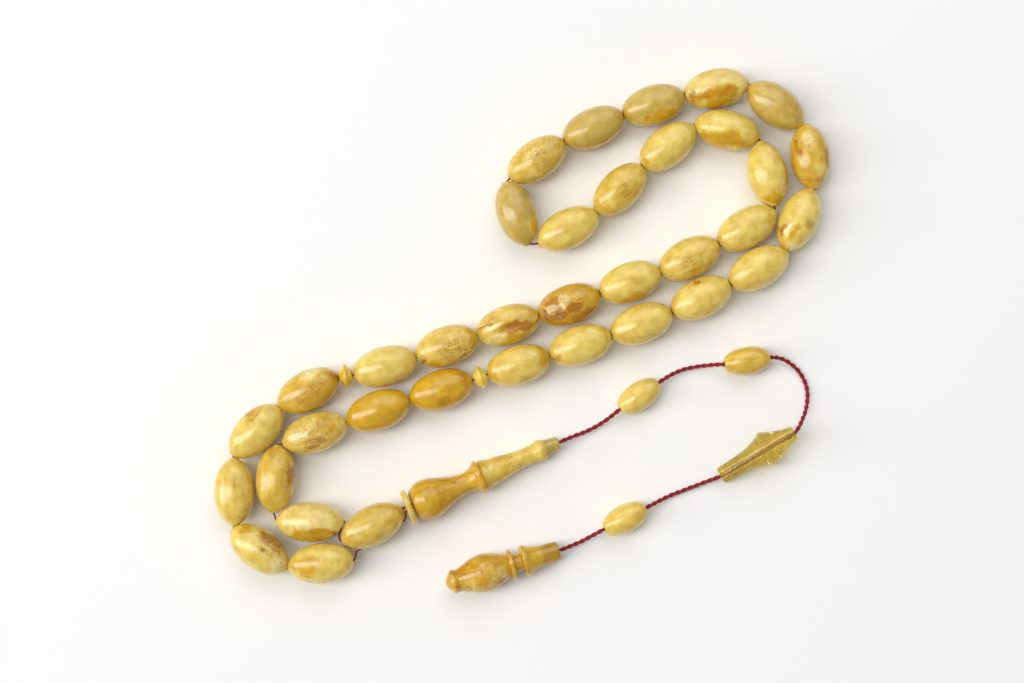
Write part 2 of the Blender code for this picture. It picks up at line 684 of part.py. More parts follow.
def build_tail(amber, red, leader_matrix, outlines):
    """Small beads, spindle and finial, and the twisted cord in six lengths."""
    cord_bore = CORD_DIAMETER + 2 * CORD_CLEARANCE
    small = barrel_outline(TAIL_BEAD_LENGTH, TAIL_BEAD_DIAMETER, TAIL_BEAD_FACE, BEAD_RINGS)
    small_mesh = turned_mesh(
        "tail_bead", small, straight_bore(TAIL_BEAD_LENGTH, cord_bore), SMALL_SIDES
    )
    through = []
    for number, (place, heading) in enumerate(TAIL_BEADS, 1):
        matrix = along(place, TAIL_BEAD_DIAMETER / 2, heading)
        half = Matrix.Translation((-TAIL_BEAD_LENGTH / 2 * MM, 0, 0))
        made = place_mesh(f"tail_bead_{number}", small_mesh.copy(), amber["tail"], matrix)
        made.data.transform(half)
        through.append(mouths(matrix @ half, TAIL_BEAD_LENGTH))

    spindle = outlines["spindle"]
    tilt, height = lie_on_table(spindle)
    spindle_matrix = along(SPINDLE_PLACE, height, SPINDLE_HEADING, tilt)
    spindle_mesh = turned_mesh(
        "spindle", spindle, straight_bore(spindle[-1][0], cord_bore), TURNED_SIDES
    )
    place_mesh("spindle", spindle_mesh, amber["spindle"], spindle_matrix)
    through.insert(2, mouths(spindle_matrix, spindle[-1][0]))

    finial = outlines["finial"]
    tilt, height = lie_on_table(finial)
    finial_matrix = along(FINIAL_PLACE, height, FINIAL_HEADING, tilt)
    knot_room = KNOT_DIAMETER + 2 * KNOT_POCKET_CLEARANCE
    pocket = FINIAL_BORE_DEPTH - KNOT_DIAMETER - 2 * GAP
    blind = [
        (0.0, cord_bore),
        (pocket, cord_bore),
        (pocket, knot_room),
        (FINIAL_BORE_DEPTH, knot_room),
        (FINIAL_BORE_DEPTH, 0.0),
    ]
    finial_mesh = turned_mesh("finial", finial + [(finial[-1][0], 0.0)], blind, TURNED_SIDES)
    place_mesh("finial", finial_mesh, amber["finial"], finial_matrix)

    bm = bmesh.new()
    bmesh.ops.create_icosphere(bm, subdivisions=2, radius=KNOT_DIAMETER / 2 * MM)
    knot_mesh = bpy.data.meshes.new("finial_knot")
    bm.to_mesh(knot_mesh)
    bm.free()
    knot_mesh.shade_smooth()
    knot_at = Vector(((pocket + GAP + KNOT_DIAMETER / 2) * MM, 0, 0))
    place_mesh("finial_knot", knot_mesh, red, finial_matrix @ Matrix.Translation(knot_at))

    leader_axis = mouths(leader_matrix, outlines["leader"][-1][0])
    length = outlines["leader"][-1][0]
    start = between(*leader_axis, CORD_START / length)
    finial_axis = mouths(finial_matrix, pocket)
    stops = [(start, leader_axis[1])] + through + [(finial_axis[0], finial_axis[1])]
    lead_in = [np.array([start])]
    for index, stretch in enumerate(TAIL_STRETCHES):
        entered, left = stops[index]
        enters, leaves = stops[index + 1]
        free = [
            between(entered, left, 1 - CORD_MEETING),
            left,
            *np.array(stretch),
            enters,
            between(enters, leaves, CORD_MEETING),
        ]
        path = even_path(free, CORD_STEP)
        middle = len(path) // 2
        lead_in[-1] = np.vstack([lead_in[-1], path[:middle]])
        lead_in.append(path[middle:])
    lead_in[-1] = np.vstack([lead_in[-1], [finial_axis[1]]])
    for number, (points, following) in enumerate(zip(lead_in, lead_in[1:] + [None]), 1):
        if following is not None:
            joint = (points[-1] + following[0]) / 2
            way = following[0] - points[-1]
            way = way / np.linalg.norm(way) * JOINT_GAP / 2
            points = np.vstack([points[:-1], [joint - way]])
            following[0] = joint + way
        tube(f"tail_cord_{number}", points, CORD_DIAMETER, red)


def stand_on_origin(loose):
    """Shift everything so that the origin is under the middle of the rigid pieces' box."""
    bpy.context.view_layer.update()
    corners = []
    for made in bpy.data.objects:
        if made.type == "MESH" and made.name not in loose:
            corners += [made.matrix_world @ vertex.co for vertex in made.data.vertices]
    spots = np.array(corners)
    low = spots.min(axis=0)
    high = spots.max(axis=0)
    shift = Vector((-(low[0] + high[0]) / 2, -(low[1] + high[1]) / 2, -low[2]))
    for made in bpy.data.objects:
        made.matrix_world = Matrix.Translation(shift) @ made.matrix_world
    bpy.context.view_layer.update()


def main():
    for old in list(bpy.data.objects):
        bpy.data.objects.remove(old, do_unlink=True)

    red = material("red_thread", (0.36, 0.012, 0.03), 0.75)
    amber = {
        "bead": material("pale_amber", (0.72, 0.55, 0.17), 0.3, 0.2),
        "separator": material("honey_amber", (0.70, 0.42, 0.05), 0.28, 0.2),
        "collar": material("collar_amber", (0.74, 0.53, 0.12), 0.3, 0.2),
        "leader": material("leader_amber", (0.68, 0.47, 0.07), 0.3, 0.2),
        "tail": material("tail_amber", (0.74, 0.56, 0.14), 0.3, 0.2),
        "spindle": material("clear_amber", (0.74, 0.52, 0.06), 0.2, 0.2),
        "finial": material("finial_amber", (0.62, 0.43, 0.08), 0.35, 0.2),
    }
    outlines = {
        "leader": leader_outline(),
        "spindle": spindle_outline(),
        "finial": finial_outline(),
    }
    tilt, height = lie_on_table(outlines["leader"])
    leader_matrix = along(LEADER_PLACE, height, LEADER_HEADING, tilt)
    pair_bore = 2 * THREAD_DIAMETER + STRAND_GAP + 2 * STRAND_CLEARANCE
    cord_bore = CORD_DIAMETER + 2 * CORD_CLEARANCE
    leader_bore = [
        (0.0, pair_bore),
        (LEADER_POCKET_DEPTH, pair_bore),
        (LEADER_POCKET_DEPTH, cord_bore),
        (outlines["leader"][-1][0], cord_bore),
    ]
    leader_mesh = turned_mesh("leader", outlines["leader"], leader_bore, TURNED_SIDES)
    place_mesh("leader", leader_mesh, amber["leader"], leader_matrix)

    build_loop(amber, red, leader_matrix)
    build_tail(amber, red, leader_matrix, outlines)
    stand_on_origin(loose=("finial_knot",))


main()
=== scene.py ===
import json
import math

import bpy
import numpy as np
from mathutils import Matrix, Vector


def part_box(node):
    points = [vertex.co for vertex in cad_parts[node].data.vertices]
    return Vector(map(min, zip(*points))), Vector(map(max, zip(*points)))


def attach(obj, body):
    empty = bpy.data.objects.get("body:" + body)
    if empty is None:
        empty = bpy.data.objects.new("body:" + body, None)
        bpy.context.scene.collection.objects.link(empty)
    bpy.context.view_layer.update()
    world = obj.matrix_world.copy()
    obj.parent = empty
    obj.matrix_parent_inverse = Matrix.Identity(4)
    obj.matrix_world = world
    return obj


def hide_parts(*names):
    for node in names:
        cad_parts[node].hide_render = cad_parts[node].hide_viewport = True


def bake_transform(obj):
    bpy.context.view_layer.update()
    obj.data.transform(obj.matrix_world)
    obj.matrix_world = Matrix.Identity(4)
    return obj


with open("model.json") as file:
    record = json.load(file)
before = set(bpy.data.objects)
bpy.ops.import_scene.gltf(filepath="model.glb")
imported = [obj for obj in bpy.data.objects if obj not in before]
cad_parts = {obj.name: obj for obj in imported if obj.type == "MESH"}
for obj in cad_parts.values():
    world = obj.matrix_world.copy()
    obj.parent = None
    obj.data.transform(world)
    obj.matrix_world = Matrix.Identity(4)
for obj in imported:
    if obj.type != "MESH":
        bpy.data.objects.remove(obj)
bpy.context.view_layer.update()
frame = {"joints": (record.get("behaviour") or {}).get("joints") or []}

mm = 0.001
spins = {joint["child"]: joint for joint in frame["joints"]}
material = {}


# shapes worked out as whole arrays

# v / |v|
def unit(vector):
    vector = np.asarray(vector, dtype=float)
    return vector / np.linalg.norm(vector, axis=-1, keepdims=True)


# a turned piece's start and its three axes: along its bore, to its left, and up
def placeOf(node):
    along = unit(spins[node]["axis"])
    side = unit(np.cross((0, 0, 1), along))
    return np.array(spins[node]["pos_m"]), np.array([along, side, np.cross(along, side)])


# value noise: a random number at each corner of a unit lattice, blended by 3t^2 - 2t^3 between corners
def latticeNoise(points, seed):
    cell = np.floor(points).astype(np.int64)
    t = points - cell
    t = t * t * (3 - 2 * t)
    total = np.zeros(points.shape[:-1])
    for corner in np.ndindex(2, 2, 2):
        at = cell + corner
        code = at[..., 0] * 374761393 + at[..., 1] * 668265263 + at[..., 2] * 1440662683 + seed * 974634777
        code = (code ^ (code >> 13)) * 1274126177
        share = np.prod(np.where(corner, t, 1 - t), axis=-1)
        total += ((code ^ (code >> 16)) & 65535) / 65535 * share
    return total


# octaves of value noise, each half as strong and twice as fine as the last, kept between 0 and 1
def clouds(points, size, seed, octaves=3):
    scaled = points / size
    parts = [latticeNoise(scaled * 2**k + 17.3 * k, seed + k) / 2**k for k in range(octaves)]
    return sum(parts) / sum(0.5**k for k in range(octaves))


# 0 below low, 1 above high, and 3t^2 - 2t^3 between
def softStep(value, low, high):
    t = np.clip((value - low) / (high - low), 0, 1)
    return t * t * (3 - 2 * t)


# a smooth line through points (Catmull-Rom), read at an even spacing
def smoothLine(points, spacing):
    known = np.array(points, dtype=float)
    padded = np.vstack([2 * known[0] - known[1], known, 2 * known[-1] - known[-2]])
    t = np.linspace(0, 1, 24, endpoint=False)[:, None, None]
    a, b, c, d = padded[:-3], padded[1:-2], padded[2:-1], padded[3:]
    spans = 0.5 * (
        2 * b + (c - a) * t + (2 * a - 5 * b + 4 * c - d) * t**2 + (3 * b - a - 3 * c + d) * t**3
    )
    fine = np.vstack([spans.transpose(1, 0, 2).reshape(-1, known.shape[1]), known[-1]])
    return evenLine(fine, spacing)


# the distance travelled to each point of a polyline: the running sum of the steps between them
def travelledAlong(points):
    return np.concatenate([[0], np.cumsum(np.linalg.norm(np.diff(points, axis=0), axis=1))])


# a polyline read at an even spacing along its length
def evenLine(points, spacing):
    travelled = travelledAlong(points)
    wanted = np.linspace(0, travelled[-1], max(2, int(round(travelled[-1] / spacing)) + 1))
    return np.column_stack([np.interp(wanted, travelled, points[:, k]) for k in range(points.shape[1])])


# the sum of the distances between neighbouring points
def lengthOf(points):
    return float(np.linalg.norm(np.diff(points, axis=0), axis=1).sum())


# a closed outline of (distance, radius, rounding) corners: each corner is cut by a quadratic curve whose
# ends lie one rounding away from it, and the runs between are split evenly
def roundedOutline(corners, spacing):
    points = np.array([corner[:2] for corner in corners], dtype=float)
    made = []
    for k, (*_, rounding) in enumerate(corners):
        here, before, after = points[k], points[k - 1], points[(k + 1) % len(corners)]
        reach = min(rounding, np.linalg.norm(here - before) / 2.05, np.linalg.norm(after - here) / 2.05)
        start, end = here + unit(before - here) * reach, here + unit(after - here) * reach
        t = np.linspace(0, 1, 4 if rounding > 0.05 else 2)[:, None]
        made.append((1 - t) ** 2 * start + 2 * t * (1 - t) * here + t**2 * end)
    line = np.vstack(made + [made[0][:1]])
    runs = []
    for a, b in zip(line, line[1:]):
        steps = max(1, int(math.ceil(np.linalg.norm(b - a) / spacing)))
        runs.append(a + (b - a) * (np.arange(steps) / steps)[:, None])
    return np.vstack(runs)


# a surface of revolution about x: (x, r) at angle q lies at (x, r cos q, r sin q)
def turned(outline, columns):
    q = np.arange(columns) / columns * 2 * math.pi
    x = np.repeat(outline[:, :1], columns, axis=1)
    return np.stack([x, outline[:, 1:] * np.cos(q), outline[:, 1:] * np.sin(q)], axis=-1)


# a grid of points as a mesh; columns close up, rows close up or end in a pole each
def gridFaces(rows, columns, closeRows, start=0):
    index = start + np.arange(rows * columns).reshape(rows, columns)
    beside = np.roll(index, -1, axis=1)
    if closeRows:
        quads = np.stack([index, beside, np.roll(beside, -1, axis=0), np.roll(index, -1, axis=0)], axis=-1)
        return quads.reshape(-1, 4).tolist()
    quads = np.stack([index[:-1], beside[:-1], beside[1:], index[1:]], axis=-1).reshape(-1, 4).tolist()
    first, last = start + rows * columns, start + rows * columns + 1
    caps = [(first, b, a) for a, b in zip(index[0], beside[0])]
    return quads + caps + [(a, b, last) for a, b in zip(index[-1], beside[-1])]


# an object in the scene
def addObject(name, data):
    made = bpy.data.objects.new(name, data)
    bpy.context.scene.collection.objects.link(made)
    return made


# grids joined into one mesh; where rows don't close up, each end is capped at the middle of its ring
def pieceFrom(name, grids, closeRows, sharp=38):
    points, faces, start = [], [], 0
    for grid in grids:
        points.append(grid.reshape(-1, 3))
        faces += gridFaces(grid.shape[0], grid.shape[1], closeRows, start)
        if not closeRows:
            points.append(np.array([grid[0].mean(axis=0), grid[-1].mean(axis=0)]))
        start = sum(len(part) for part in points)
    mesh = bpy.data.meshes.new(name)
    mesh.from_pydata(np.vstack(points).tolist(), [], faces)
    mesh.shade_smooth()
    mesh.set_sharp_from_angle(angle=math.radians(sharp))
    return addObject(name, mesh)


# one number at every point, for the materials to read
def giveValue(piece, name, values):
    layer = piece.data.attributes.new(name, "FLOAT", "POINT")
    layer.data.foreach_set("value", np.asarray(values, dtype=np.float32).ravel())


# a material with its node tree and its main shader
def newLook(name):
    look = bpy.data.materials.new(name)
    look.use_nodes = True
    return look, look.node_tree, look.node_tree.nodes["Principled BSDF"]


# constants put straight on a shader's inputs
def setInputs(shader, constants):
    for name, value in constants.items():
        shader.inputs[name].default_value = value


# what every piece gets: a material, the body it moves with, the nodes it stands for and its slot
def finishPiece(piece, body, nodes, look):
    piece.data.materials.append(look)
    if body:
        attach(piece, body)
    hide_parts(*nodes)


# camera, light and table

view = {"lens": 70, "height": 0.478, "elevation": 85.0, "aim": (-0.0029, -0.0032, 0.0048)}


# the camera looks at the aim from a height along a line that rises from the near side by the elevation
def addCamera():
    camera = addObject("camera", bpy.data.cameras.new("camera"))
    camera.data.lens = view["lens"]
    camera.data.clip_start = 0.01
    tilt = math.radians(view["elevation"])
    back = Vector((0, -math.cos(tilt), math.sin(tilt)))
    camera.location = Vector(view["aim"]) + back * view["height"]
    camera.rotation_euler = (math.radians(90) - tilt, 0, 0)
    bpy.context.scene.camera = camera


lights = {
    "window": {"at": (-1.33, -0.14, 1.40), "size": (0.74, 2.9), "power": 33.8, "tint": (1.0, 0.99, 0.97)},
    "overhead": {"at": (0.10, 0.95, 1.25), "size": (1.6, 1.2), "power": 9.3, "tint": (1.0, 0.995, 0.985)},
}
table = {"colour": (0.93, 0.925, 0.92), "roughness": 0.7, "half": 2.0, "sky": 0.31}


# a rectangle of light that faces the middle of the table
def addLight(name, values):
    lamp = bpy.data.lights.new(name, "AREA")
    lamp.shape = "RECTANGLE"
    lamp.size, lamp.size_y = values["size"]
    lamp.energy = values["power"]
    lamp.color = values["tint"]
    made = addObject(name, lamp)
    made.location = values["at"]
    made.rotation_mode = "QUATERNION"
    made.rotation_quaternion = (-Vector(values["at"])).to_track_quat("-Z", "Y")


# a square of matt paper under an even sky
def addTable():
    mesh = bpy.data.meshes.new("table_top")
    half = table["half"]
    corners = [(-half, -half, 0), (half, -half, 0), (half, half, 0), (-half, half, 0)]
    mesh.from_pydata(corners, [], [(0, 1, 2, 3)])
    top = addObject("table_top", mesh)
    paper, _, shader = newLook("paper")
    setInputs(shader, {
        "Base Color": (*table["colour"], 1), "Roughness": table["roughness"], "Specular IOR Level": 0.2,
    })
    mesh.materials.append(paper)
    world = bpy.data.worlds.new("sky")
    world.use_nodes = True
    setInputs(world.node_tree.nodes["Background"], {"Color": (1, 1, 1, 1), "Strength": table["sky"]})
    bpy.context.scene.world = world
    bpy.context.scene.view_settings.view_transform = "Standard"


addCamera()
addTable()
for name, values in lights.items():
    addLight(name, values)
print("camera, table and lights done")


# the tail cord: two plies twisted round each other, in five lengths that meet inside the beads

# pitch: how far along one ply goes once round, ply: a ply's radius as a share of the diameter,
# yarns and yarnPitch: the turns that show on a ply, groove: how deep they are as a share of its radius,
# bend: how far either side of a joint the cord curves, guide: the longest run between two guide points
cord = {
    "diameter": 1.1 * mm, "pitch": 3.3 * mm, "ply": 0.29, "yarns": 3, "yarnPitch": 2.1 * mm,
    "groove": 0.05, "columns": 18, "step": 0.14 * mm, "bend": 1.2 * mm,
}
thread = {
    "diameter": 0.52 * mm, "pitch": 1.2 * mm, "ply": 0.36, "yarns": 2, "yarnPitch": 1.0 * mm,
    "groove": 0.05, "columns": 8, "step": 0.2 * mm, "guide": 2.5 * mm,
}

# the cord's way over the table between its pieces, in metres, as it was first laid out
stretches = [
    [(0.0114, -0.0243, 0.0020), (0.0156, -0.0226, 0.0014), (0.0194, -0.0204, 0.0022)],
    [
        (0.0352, -0.0094, 0.0022), (0.0384, -0.0080, 0.0013), (0.0420, -0.0073, 0.0012),
        (0.0454, -0.0070, 0.0021),
    ],
    [
        (0.0616, -0.0054, 0.0021), (0.0640, -0.0065, 0.0011), (0.0662, -0.0085, 0.0007),
        (0.0677, -0.0112, 0.0006), (0.0682, -0.0139, 0.0009), (0.0678, -0.0168, 0.0019),
        (0.0667, -0.0197, 0.0037),
    ],
    [
        (0.0432, -0.0352, 0.0014), (0.0390, -0.0368, 0.0009), (0.0348, -0.0384, 0.0012),
        (0.0319, -0.0398, 0.0021),
    ],
    [(0.0160, -0.0480, 0.0025), (0.0136, -0.0493, 0.0019), (0.0110, -0.0504, 0.0019)],
]
firstTailBead = (0.0274, -0.0146)  # where the first tail bead lay in that layout
cordPieces = ["tail_bead_1", "tail_bead_2", "spindle", "tail_bead_3"]
collarGap = 1.7 * mm  # from the collar disc's near face to the leader's foot
pieceLength = {"leader": 38.1 * mm, "tail_bead": 11.0 * mm, "spindle": 20.4 * mm, "finial": 28.0 * mm}


# the axis of a piece on the cord, from its first mouth to its last
def axisOf(node):
    start, axes = placeOf(node)
    length = pieceLength[node.rstrip("_123")]
    if node.startswith("tail_bead"):
        start = start - axes[0] * length / 2
    return start, start + axes[0] * length


# plies round a path: ply k's middle stands off the path by a, at angle 2 pi (s / pitch + k / 2), and each
# ply is a tube whose radius dips a little between its own yarns
def pliesAround(path, values, travelled):
    tangent = unit(np.gradient(path, axis=0))
    side = unit(np.cross(tangent, (0.0, 0.0, 1.0)))
    lift = np.cross(side, tangent)
    radius = values["diameter"] * values["ply"] * 0.98
    off = values["diameter"] / 2 - radius
    q = np.arange(values["columns"]) / values["columns"] * 2 * math.pi
    grids, grooveShade = [], []
    for k in range(2):
        turn = 2 * math.pi * (travelled / values["pitch"] + k / 2)
        middle = path + off * (np.cos(turn)[:, None] * side + np.sin(turn)[:, None] * lift)
        run = unit(np.gradient(middle, axis=0))
        a = unit(np.cross(run, (0.0, 0.0, 1.0)))
        b = np.cross(a, run)
        wave = np.cos(values["yarns"] * (q[None] - 2 * math.pi * travelled[:, None] / values["yarnPitch"]))
        r = radius * (1 - values["groove"] * (1 - wave))[..., None]
        ring = np.cos(q)[None, :, None] * a[:, None] - np.sin(q)[None, :, None] * b[:, None]
        grids.append(middle[:, None] + ring * r)
        # painted shade for each point, darkest in the grooves between yarns
        grooveShade.append(np.append((1 - wave).ravel() / 2, (0.5, 0.5)))
    return grids, np.concatenate(grooveShade)


# one smooth line: through each piece along its axis, and over the table between them
def cordPath():
    shift = np.append(np.array(spins["tail_bead_1"]["pos_m"][:2]) - firstTailBead, 0)
    foot, leaderAxis = leaderPlace()
    tip = foot + leaderAxis[0] * pieceLength["leader"]
    points = [tip - leaderAxis[0] * 20 * mm, tip - leaderAxis[0] * 9 * mm, tip]
    for stretch, node in zip(stretches, cordPieces + ["finial"]):
        start, end = axisOf(node)
        points += [np.array(point) + shift for point in stretch]
        if node == "finial":
            points += [start, start + (end - start) * 0.15, start + (end - start) * 0.5]
        else:
            points += [start, start + (end - start) * 0.25, start + (end - start) * 0.75, end]
    return smoothLine(points, cord["step"])


# the collar disc stands square to the leader, a little way in front of its foot
def leaderPlace():
    collar, axes = placeOf("collar_disc")
    return collar + axes[0] * collarGap, axes


# the index of the path's point with the least distance
def nearest(path, point):
    return int(np.argmin(np.linalg.norm(path - np.array(point), axis=1)))


# materials

amberPalette = {
    "pale": (0.84, 0.67, 0.165),
    "honey": (0.67, 0.395, 0.008),
    "khaki": (0.60, 0.43, 0.085),
    "cream": (0.88, 0.72, 0.30),
    "clear": (0.50, 0.20, 0.002),
    "crust": (0.20, 0.075, 0.006),
    "crustLight": (0.50, 0.25, 0.03),
    "dust": (0.46, 0.24, 0.04),
    "speck": (0.38, 0.175, 0.02),
    "scratch": (0.42, 0.22, 0.03),
}
# each noise: its scale to the millimetre, detail and roughness
amberNoise = {
    "broad": (0.2, 3.0, 0.55), "soft": (0.42, 3.0, 0.5), "edges": (1.1, 7.0, 0.72), "spots": (2.1, 3.0, 0.8),
    "fine": (3.4, 4.0, 0.75), "grain": (7.5, 2.0, 0.6), "streaks": (0.8, 6.0, 0.68), "hair": (1.3, 3.0, 0.7),
}
amberStretch = {"streaks": (0.3, 1.0, 1.0), "hair": (0.45, 3.0, 3.0)}
# how far the ground colour swings, how strong dust and scratches are, and how deep the surface is marked
amberFinish = {
    "dim": (0.86, 0.79, 0.60), "bright": (1.09, 1.09, 1.14), "dust": 0.22, "scratch": 0.28, "crust": 0.85,
    "bump": 0.1 * mm, "scatter": (1.0, 0.62, 0.2), "depth": 1.6 * mm, "coat": 0.38, "coatRoughness": 0.19,
}


# a node whose inputs are other nodes' outputs or plain values
def linked(tree, kind, inputs, **settings):
    node = tree.nodes.new(kind)
    for name, value in settings.items():
        setattr(node, name, value)
    for name, value in inputs.items():
        if isinstance(value, bpy.types.NodeSocket):
            tree.links.new(value, node.inputs[name])
        else:
            node.inputs[name].default_value = value
    return node.outputs


# one sum, difference, product or maximum of two values
def arith(tree, operation, a, b, clamp=False):
    return linked(tree, "ShaderNodeMath", {0: a, 1: b}, operation=operation, use_clamp=clamp)[0]


# a times b
def times(tree, a, b):
    return arith(tree, "MULTIPLY", a, b)


# a plus b
def plus(tree, a, b):
    return arith(tree, "ADD", a, b)


# (1 - share) a + share b for colours; with the blend "MULTIPLY", (1 - share) a + share a b
def mixed(tree, share, a, b, blend="MIX"):
    a, b = ((*value, 1) if isinstance(value, tuple) else value for value in (a, b))
    return linked(tree, "ShaderNodeMix", {0: share, 6: a, 7: b}, data_type="RGBA", blend_type=blend)[2]


# (value - low) / (high - low), kept between 0 and 1
def ramped(tree, value, low, high):
    return linked(tree, "ShaderNodeMapRange", {"Value": value, "From Min": low, "From Max": high})[0]


# scale: how many waves to the millimetre
def noise(tree, where, scale, detail, rough):
    inputs = {"Vector": where, "Scale": scale, "Detail": detail, "Roughness": rough}
    return linked(tree, "ShaderNodeTexNoise", inputs)[0]


# what giveValue or ownPoints stored at the points
def attribute(tree, name):
    return linked(tree, "ShaderNodeAttribute", {}, attribute_name=name)


# colour = pale, taken towards each other tone where that tone's value at the point, with noise added,
# passes a threshold; fine specks and streaks come from noise in the piece's own millimetres
def makeAmber(name, values):
    look, tree, shader = newLook(name)
    own = attribute(tree, "own")["Vector"]
    waves = {}
    for wave, (scale, detail, roughness) in amberNoise.items():
        where = own
        if wave in amberStretch:
            inputs = {0: own, 1: amberStretch[wave]}
            where = linked(tree, "ShaderNodeVectorMath", inputs, operation="MULTIPLY")[0]
        waves[wave] = noise(tree, where, scale, detail, roughness)
    edges, streaks, fine = waves["edges"], waves["streaks"], waves["fine"]
    waver = arith(tree, "SUBTRACT", plus(tree, edges, streaks), 1.0)
    colour = mixed(tree, ramped(tree, waves["broad"], 0.35, 0.7), amberPalette["pale"], values["second"])
    marbled = times(tree, ramped(tree, streaks, 0.53, 0.70), values["marble"])
    colour = mixed(tree, marbled, colour, values["vein"])
    for tone, spread in (("khaki", 0.9), ("honey", 0.9), ("cream", 0.8), ("clear", 1.1)):
        value = attribute(tree, tone)["Fac"]
        present = ramped(tree, value, 0.0, 0.15)
        wavering = plus(tree, value, times(tree, times(tree, waver, spread), present))
        colour = mixed(tree, ramped(tree, wavering, 0.25, 0.75), colour, amberPalette[tone])
    spotted = ramped(tree, waves["spots"], 0.51, 0.60)
    speck = arith(tree, "MULTIPLY", attribute(tree, "speck")["Fac"], spotted, clamp=True)
    dust = times(tree, ramped(tree, waves["grain"], 0.62, 0.74), amberFinish["dust"])
    colour = mixed(tree, dust, colour, amberPalette["dust"])
    colour = mixed(tree, speck, colour, amberPalette["speck"])
    crust = attribute(tree, "crust")["Fac"]
    torn = times(tree, arith(tree, "SUBTRACT", fine, 0.55), ramped(tree, crust, 0.0, 0.3))
    ragged = plus(tree, crust, torn)
    worn = ramped(tree, ragged, 0.42, 0.66)
    burnt = mixed(tree, ramped(tree, edges, 0.35, 0.6), amberPalette["crust"], amberPalette["crustLight"])
    colour = mixed(tree, times(tree, worn, amberFinish["crust"]), colour, burnt)
    uneven = plus(tree, times(tree, waves["soft"], 0.65), times(tree, edges, 0.35))
    cloudy = mixed(tree, ramped(tree, uneven, 0.36, 0.62), amberFinish["dim"], amberFinish["bright"])
    colour = mixed(tree, 1.0, colour, cloudy, "MULTIPLY")
    scratched = times(tree, ramped(tree, waves["hair"], 0.62, 0.72), amberFinish["scratch"])
    colour = mixed(tree, scratched, colour, amberPalette["scratch"])
    tree.links.new(colour, shader.inputs["Base Color"])
    polished = plus(tree, times(tree, edges, 0.10), values["roughness"])
    dulled = plus(tree, polished, times(tree, arith(tree, "MAXIMUM", worn, speck), 0.3))
    tree.links.new(dulled, shader.inputs["Roughness"])
    height = plus(tree, times(tree, streaks, 0.5), times(tree, fine, 0.22))
    bump = linked(tree, "ShaderNodeBump", {"Height": height, "Strength": 0.2, "Distance": amberFinish["bump"]})
    tree.links.new(bump[0], shader.inputs["Normal"])
    setInputs(shader, {
        "IOR": values["ior"], "Subsurface Weight": values["glow"], "Subsurface Radius": amberFinish["scatter"],
        "Subsurface Scale": amberFinish["depth"], "Coat Weight": amberFinish["coat"],
        "Coat Roughness": amberFinish["coatRoughness"],
    })
    if values["clarity"]:
        seen = times(tree, attribute(tree, "thin")["Fac"], values["clarity"])
        tree.links.new(seen, shader.inputs["Transmission Weight"])
    return look


# colour = red, with painted shade in the grooves between yarns, and darker where fine noise is low
def makeThreadLook(name, colour, darkFibresAndGrooveShade):
    look, tree, shader = newLook(name)
    where = linked(tree, "ShaderNodeTexCoord", {})["Object"]
    fibres = noise(tree, where, 5200.0, 3.0, 0.6)
    shade = mixed(tree, ramped(tree, fibres, 0.3, 0.7), colour, darkFibresAndGrooveShade)
    # painted shade: the grooves between yarns are drawn darker
    shade = mixed(tree, times(tree, attribute(tree, "groove")["Fac"], 0.9), shade, darkFibresAndGrooveShade)
    tree.links.new(shade, shader.inputs["Base Color"])
    bump = linked(tree, "ShaderNodeBump", {"Height": fibres, "Strength": 0.4, "Distance": 0.06 * mm})
    tree.links.new(bump[0], shader.inputs["Normal"])
    setInputs(shader, {"Roughness": 0.66, "Sheen Weight": 0.03})
    return look


# second: the other ground colour, marble: how much of the vein colour, glow: light scattered inside,
# clarity: how clear the parts marked thin are
common = {
    "second": (0.78, 0.575, 0.11), "marble": 0.25, "vein": (0.70, 0.40, 0.035),
    "roughness": 0.15, "glow": 0.3, "ior": 1.54, "clarity": 0.0,
}
looks = {
    "bead": {**common, "marble": 0.3},
    "separator": {**common, "second": (0.96, 0.74, 0.05), "marble": 0.1, "roughness": 0.16},
    "collar": common,
    "leader": {
        **common, "second": (0.74, 0.50, 0.03), "marble": 0.4, "vein": (0.74, 0.49, 0.08),
        "roughness": 0.22, "clarity": 0.5,
    },
    "tail_bead": common,
    "spindle": {
        **common, "second": (1.0, 0.86, 0.24), "marble": 0.05, "roughness": 0.05, "glow": 0.0,
        "ior": 1.25, "clarity": 0.86,
    },
    "finial": {
        **common, "second": (0.66, 0.42, 0.04), "marble": 0.8, "vein": (0.50, 0.26, 0.02),
        "roughness": 0.22, "clarity": 0.45,
    },
}
for slotName, values in looks.items():
    material[slotName] = makeAmber(slotName + "_amber", values)
# the darker colour serves both the fibres' darker patches and the painted shade in the grooves
material["thread"] = makeThreadLook("red_thread", (0.54, 0.004, 0.020), (0.17, 0.001, 0.007))
print("materials done")


# each point's place in the piece's own millimetres, moved on by the seed so that no two pieces match
def ownPoints(piece, local, seed):
    layer = piece.data.attributes.new("own", "FLOAT_VECTOR", "POINT")
    moved = local.reshape(-1, 3) / mm + np.array([31.7, 12.1, 5.3]) * seed
    layer.data.foreach_set("vector", moved.astype(np.float32).ravel())


# cords and thread made

# the twisted cord, cut where the pieces hide it
def makeCord():
    path = cordPath()
    travelled = travelledAlong(path)
    stops = [0]
    shares = {"tail_bead_1": 0.15, "tail_bead_2": 0.85}
    for node in cordPieces:
        start, end = axisOf(node)
        stops.append(nearest(path, start + (end - start) * shares.get(node, 0.5)))
    finialMouth, finialEnd = axisOf("finial")
    stops.append(nearest(path, finialMouth + (finialEnd - finialMouth) * 0.5))
    for k in range(5):
        part = slice(stops[k], stops[k + 1] + 1)
        run = path[part]
        grids, grooveShade = pliesAround(run, cord, travelled[part])
        name = "cord_" + str(k + 1)
        piece = pieceFrom(name, grids, False)
        # painted shade in the grooves between yarns, for the thread's material
        giveValue(piece, "groove", grooveShade)
        replaced = ["tail_cord_" + str(k + 1)] + (["tail_cord_6"] if k == 4 else [])
        finishPiece(piece, None, replaced, material["thread"])
        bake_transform(piece)
        print(name, "length", round(lengthOf(run), 4))


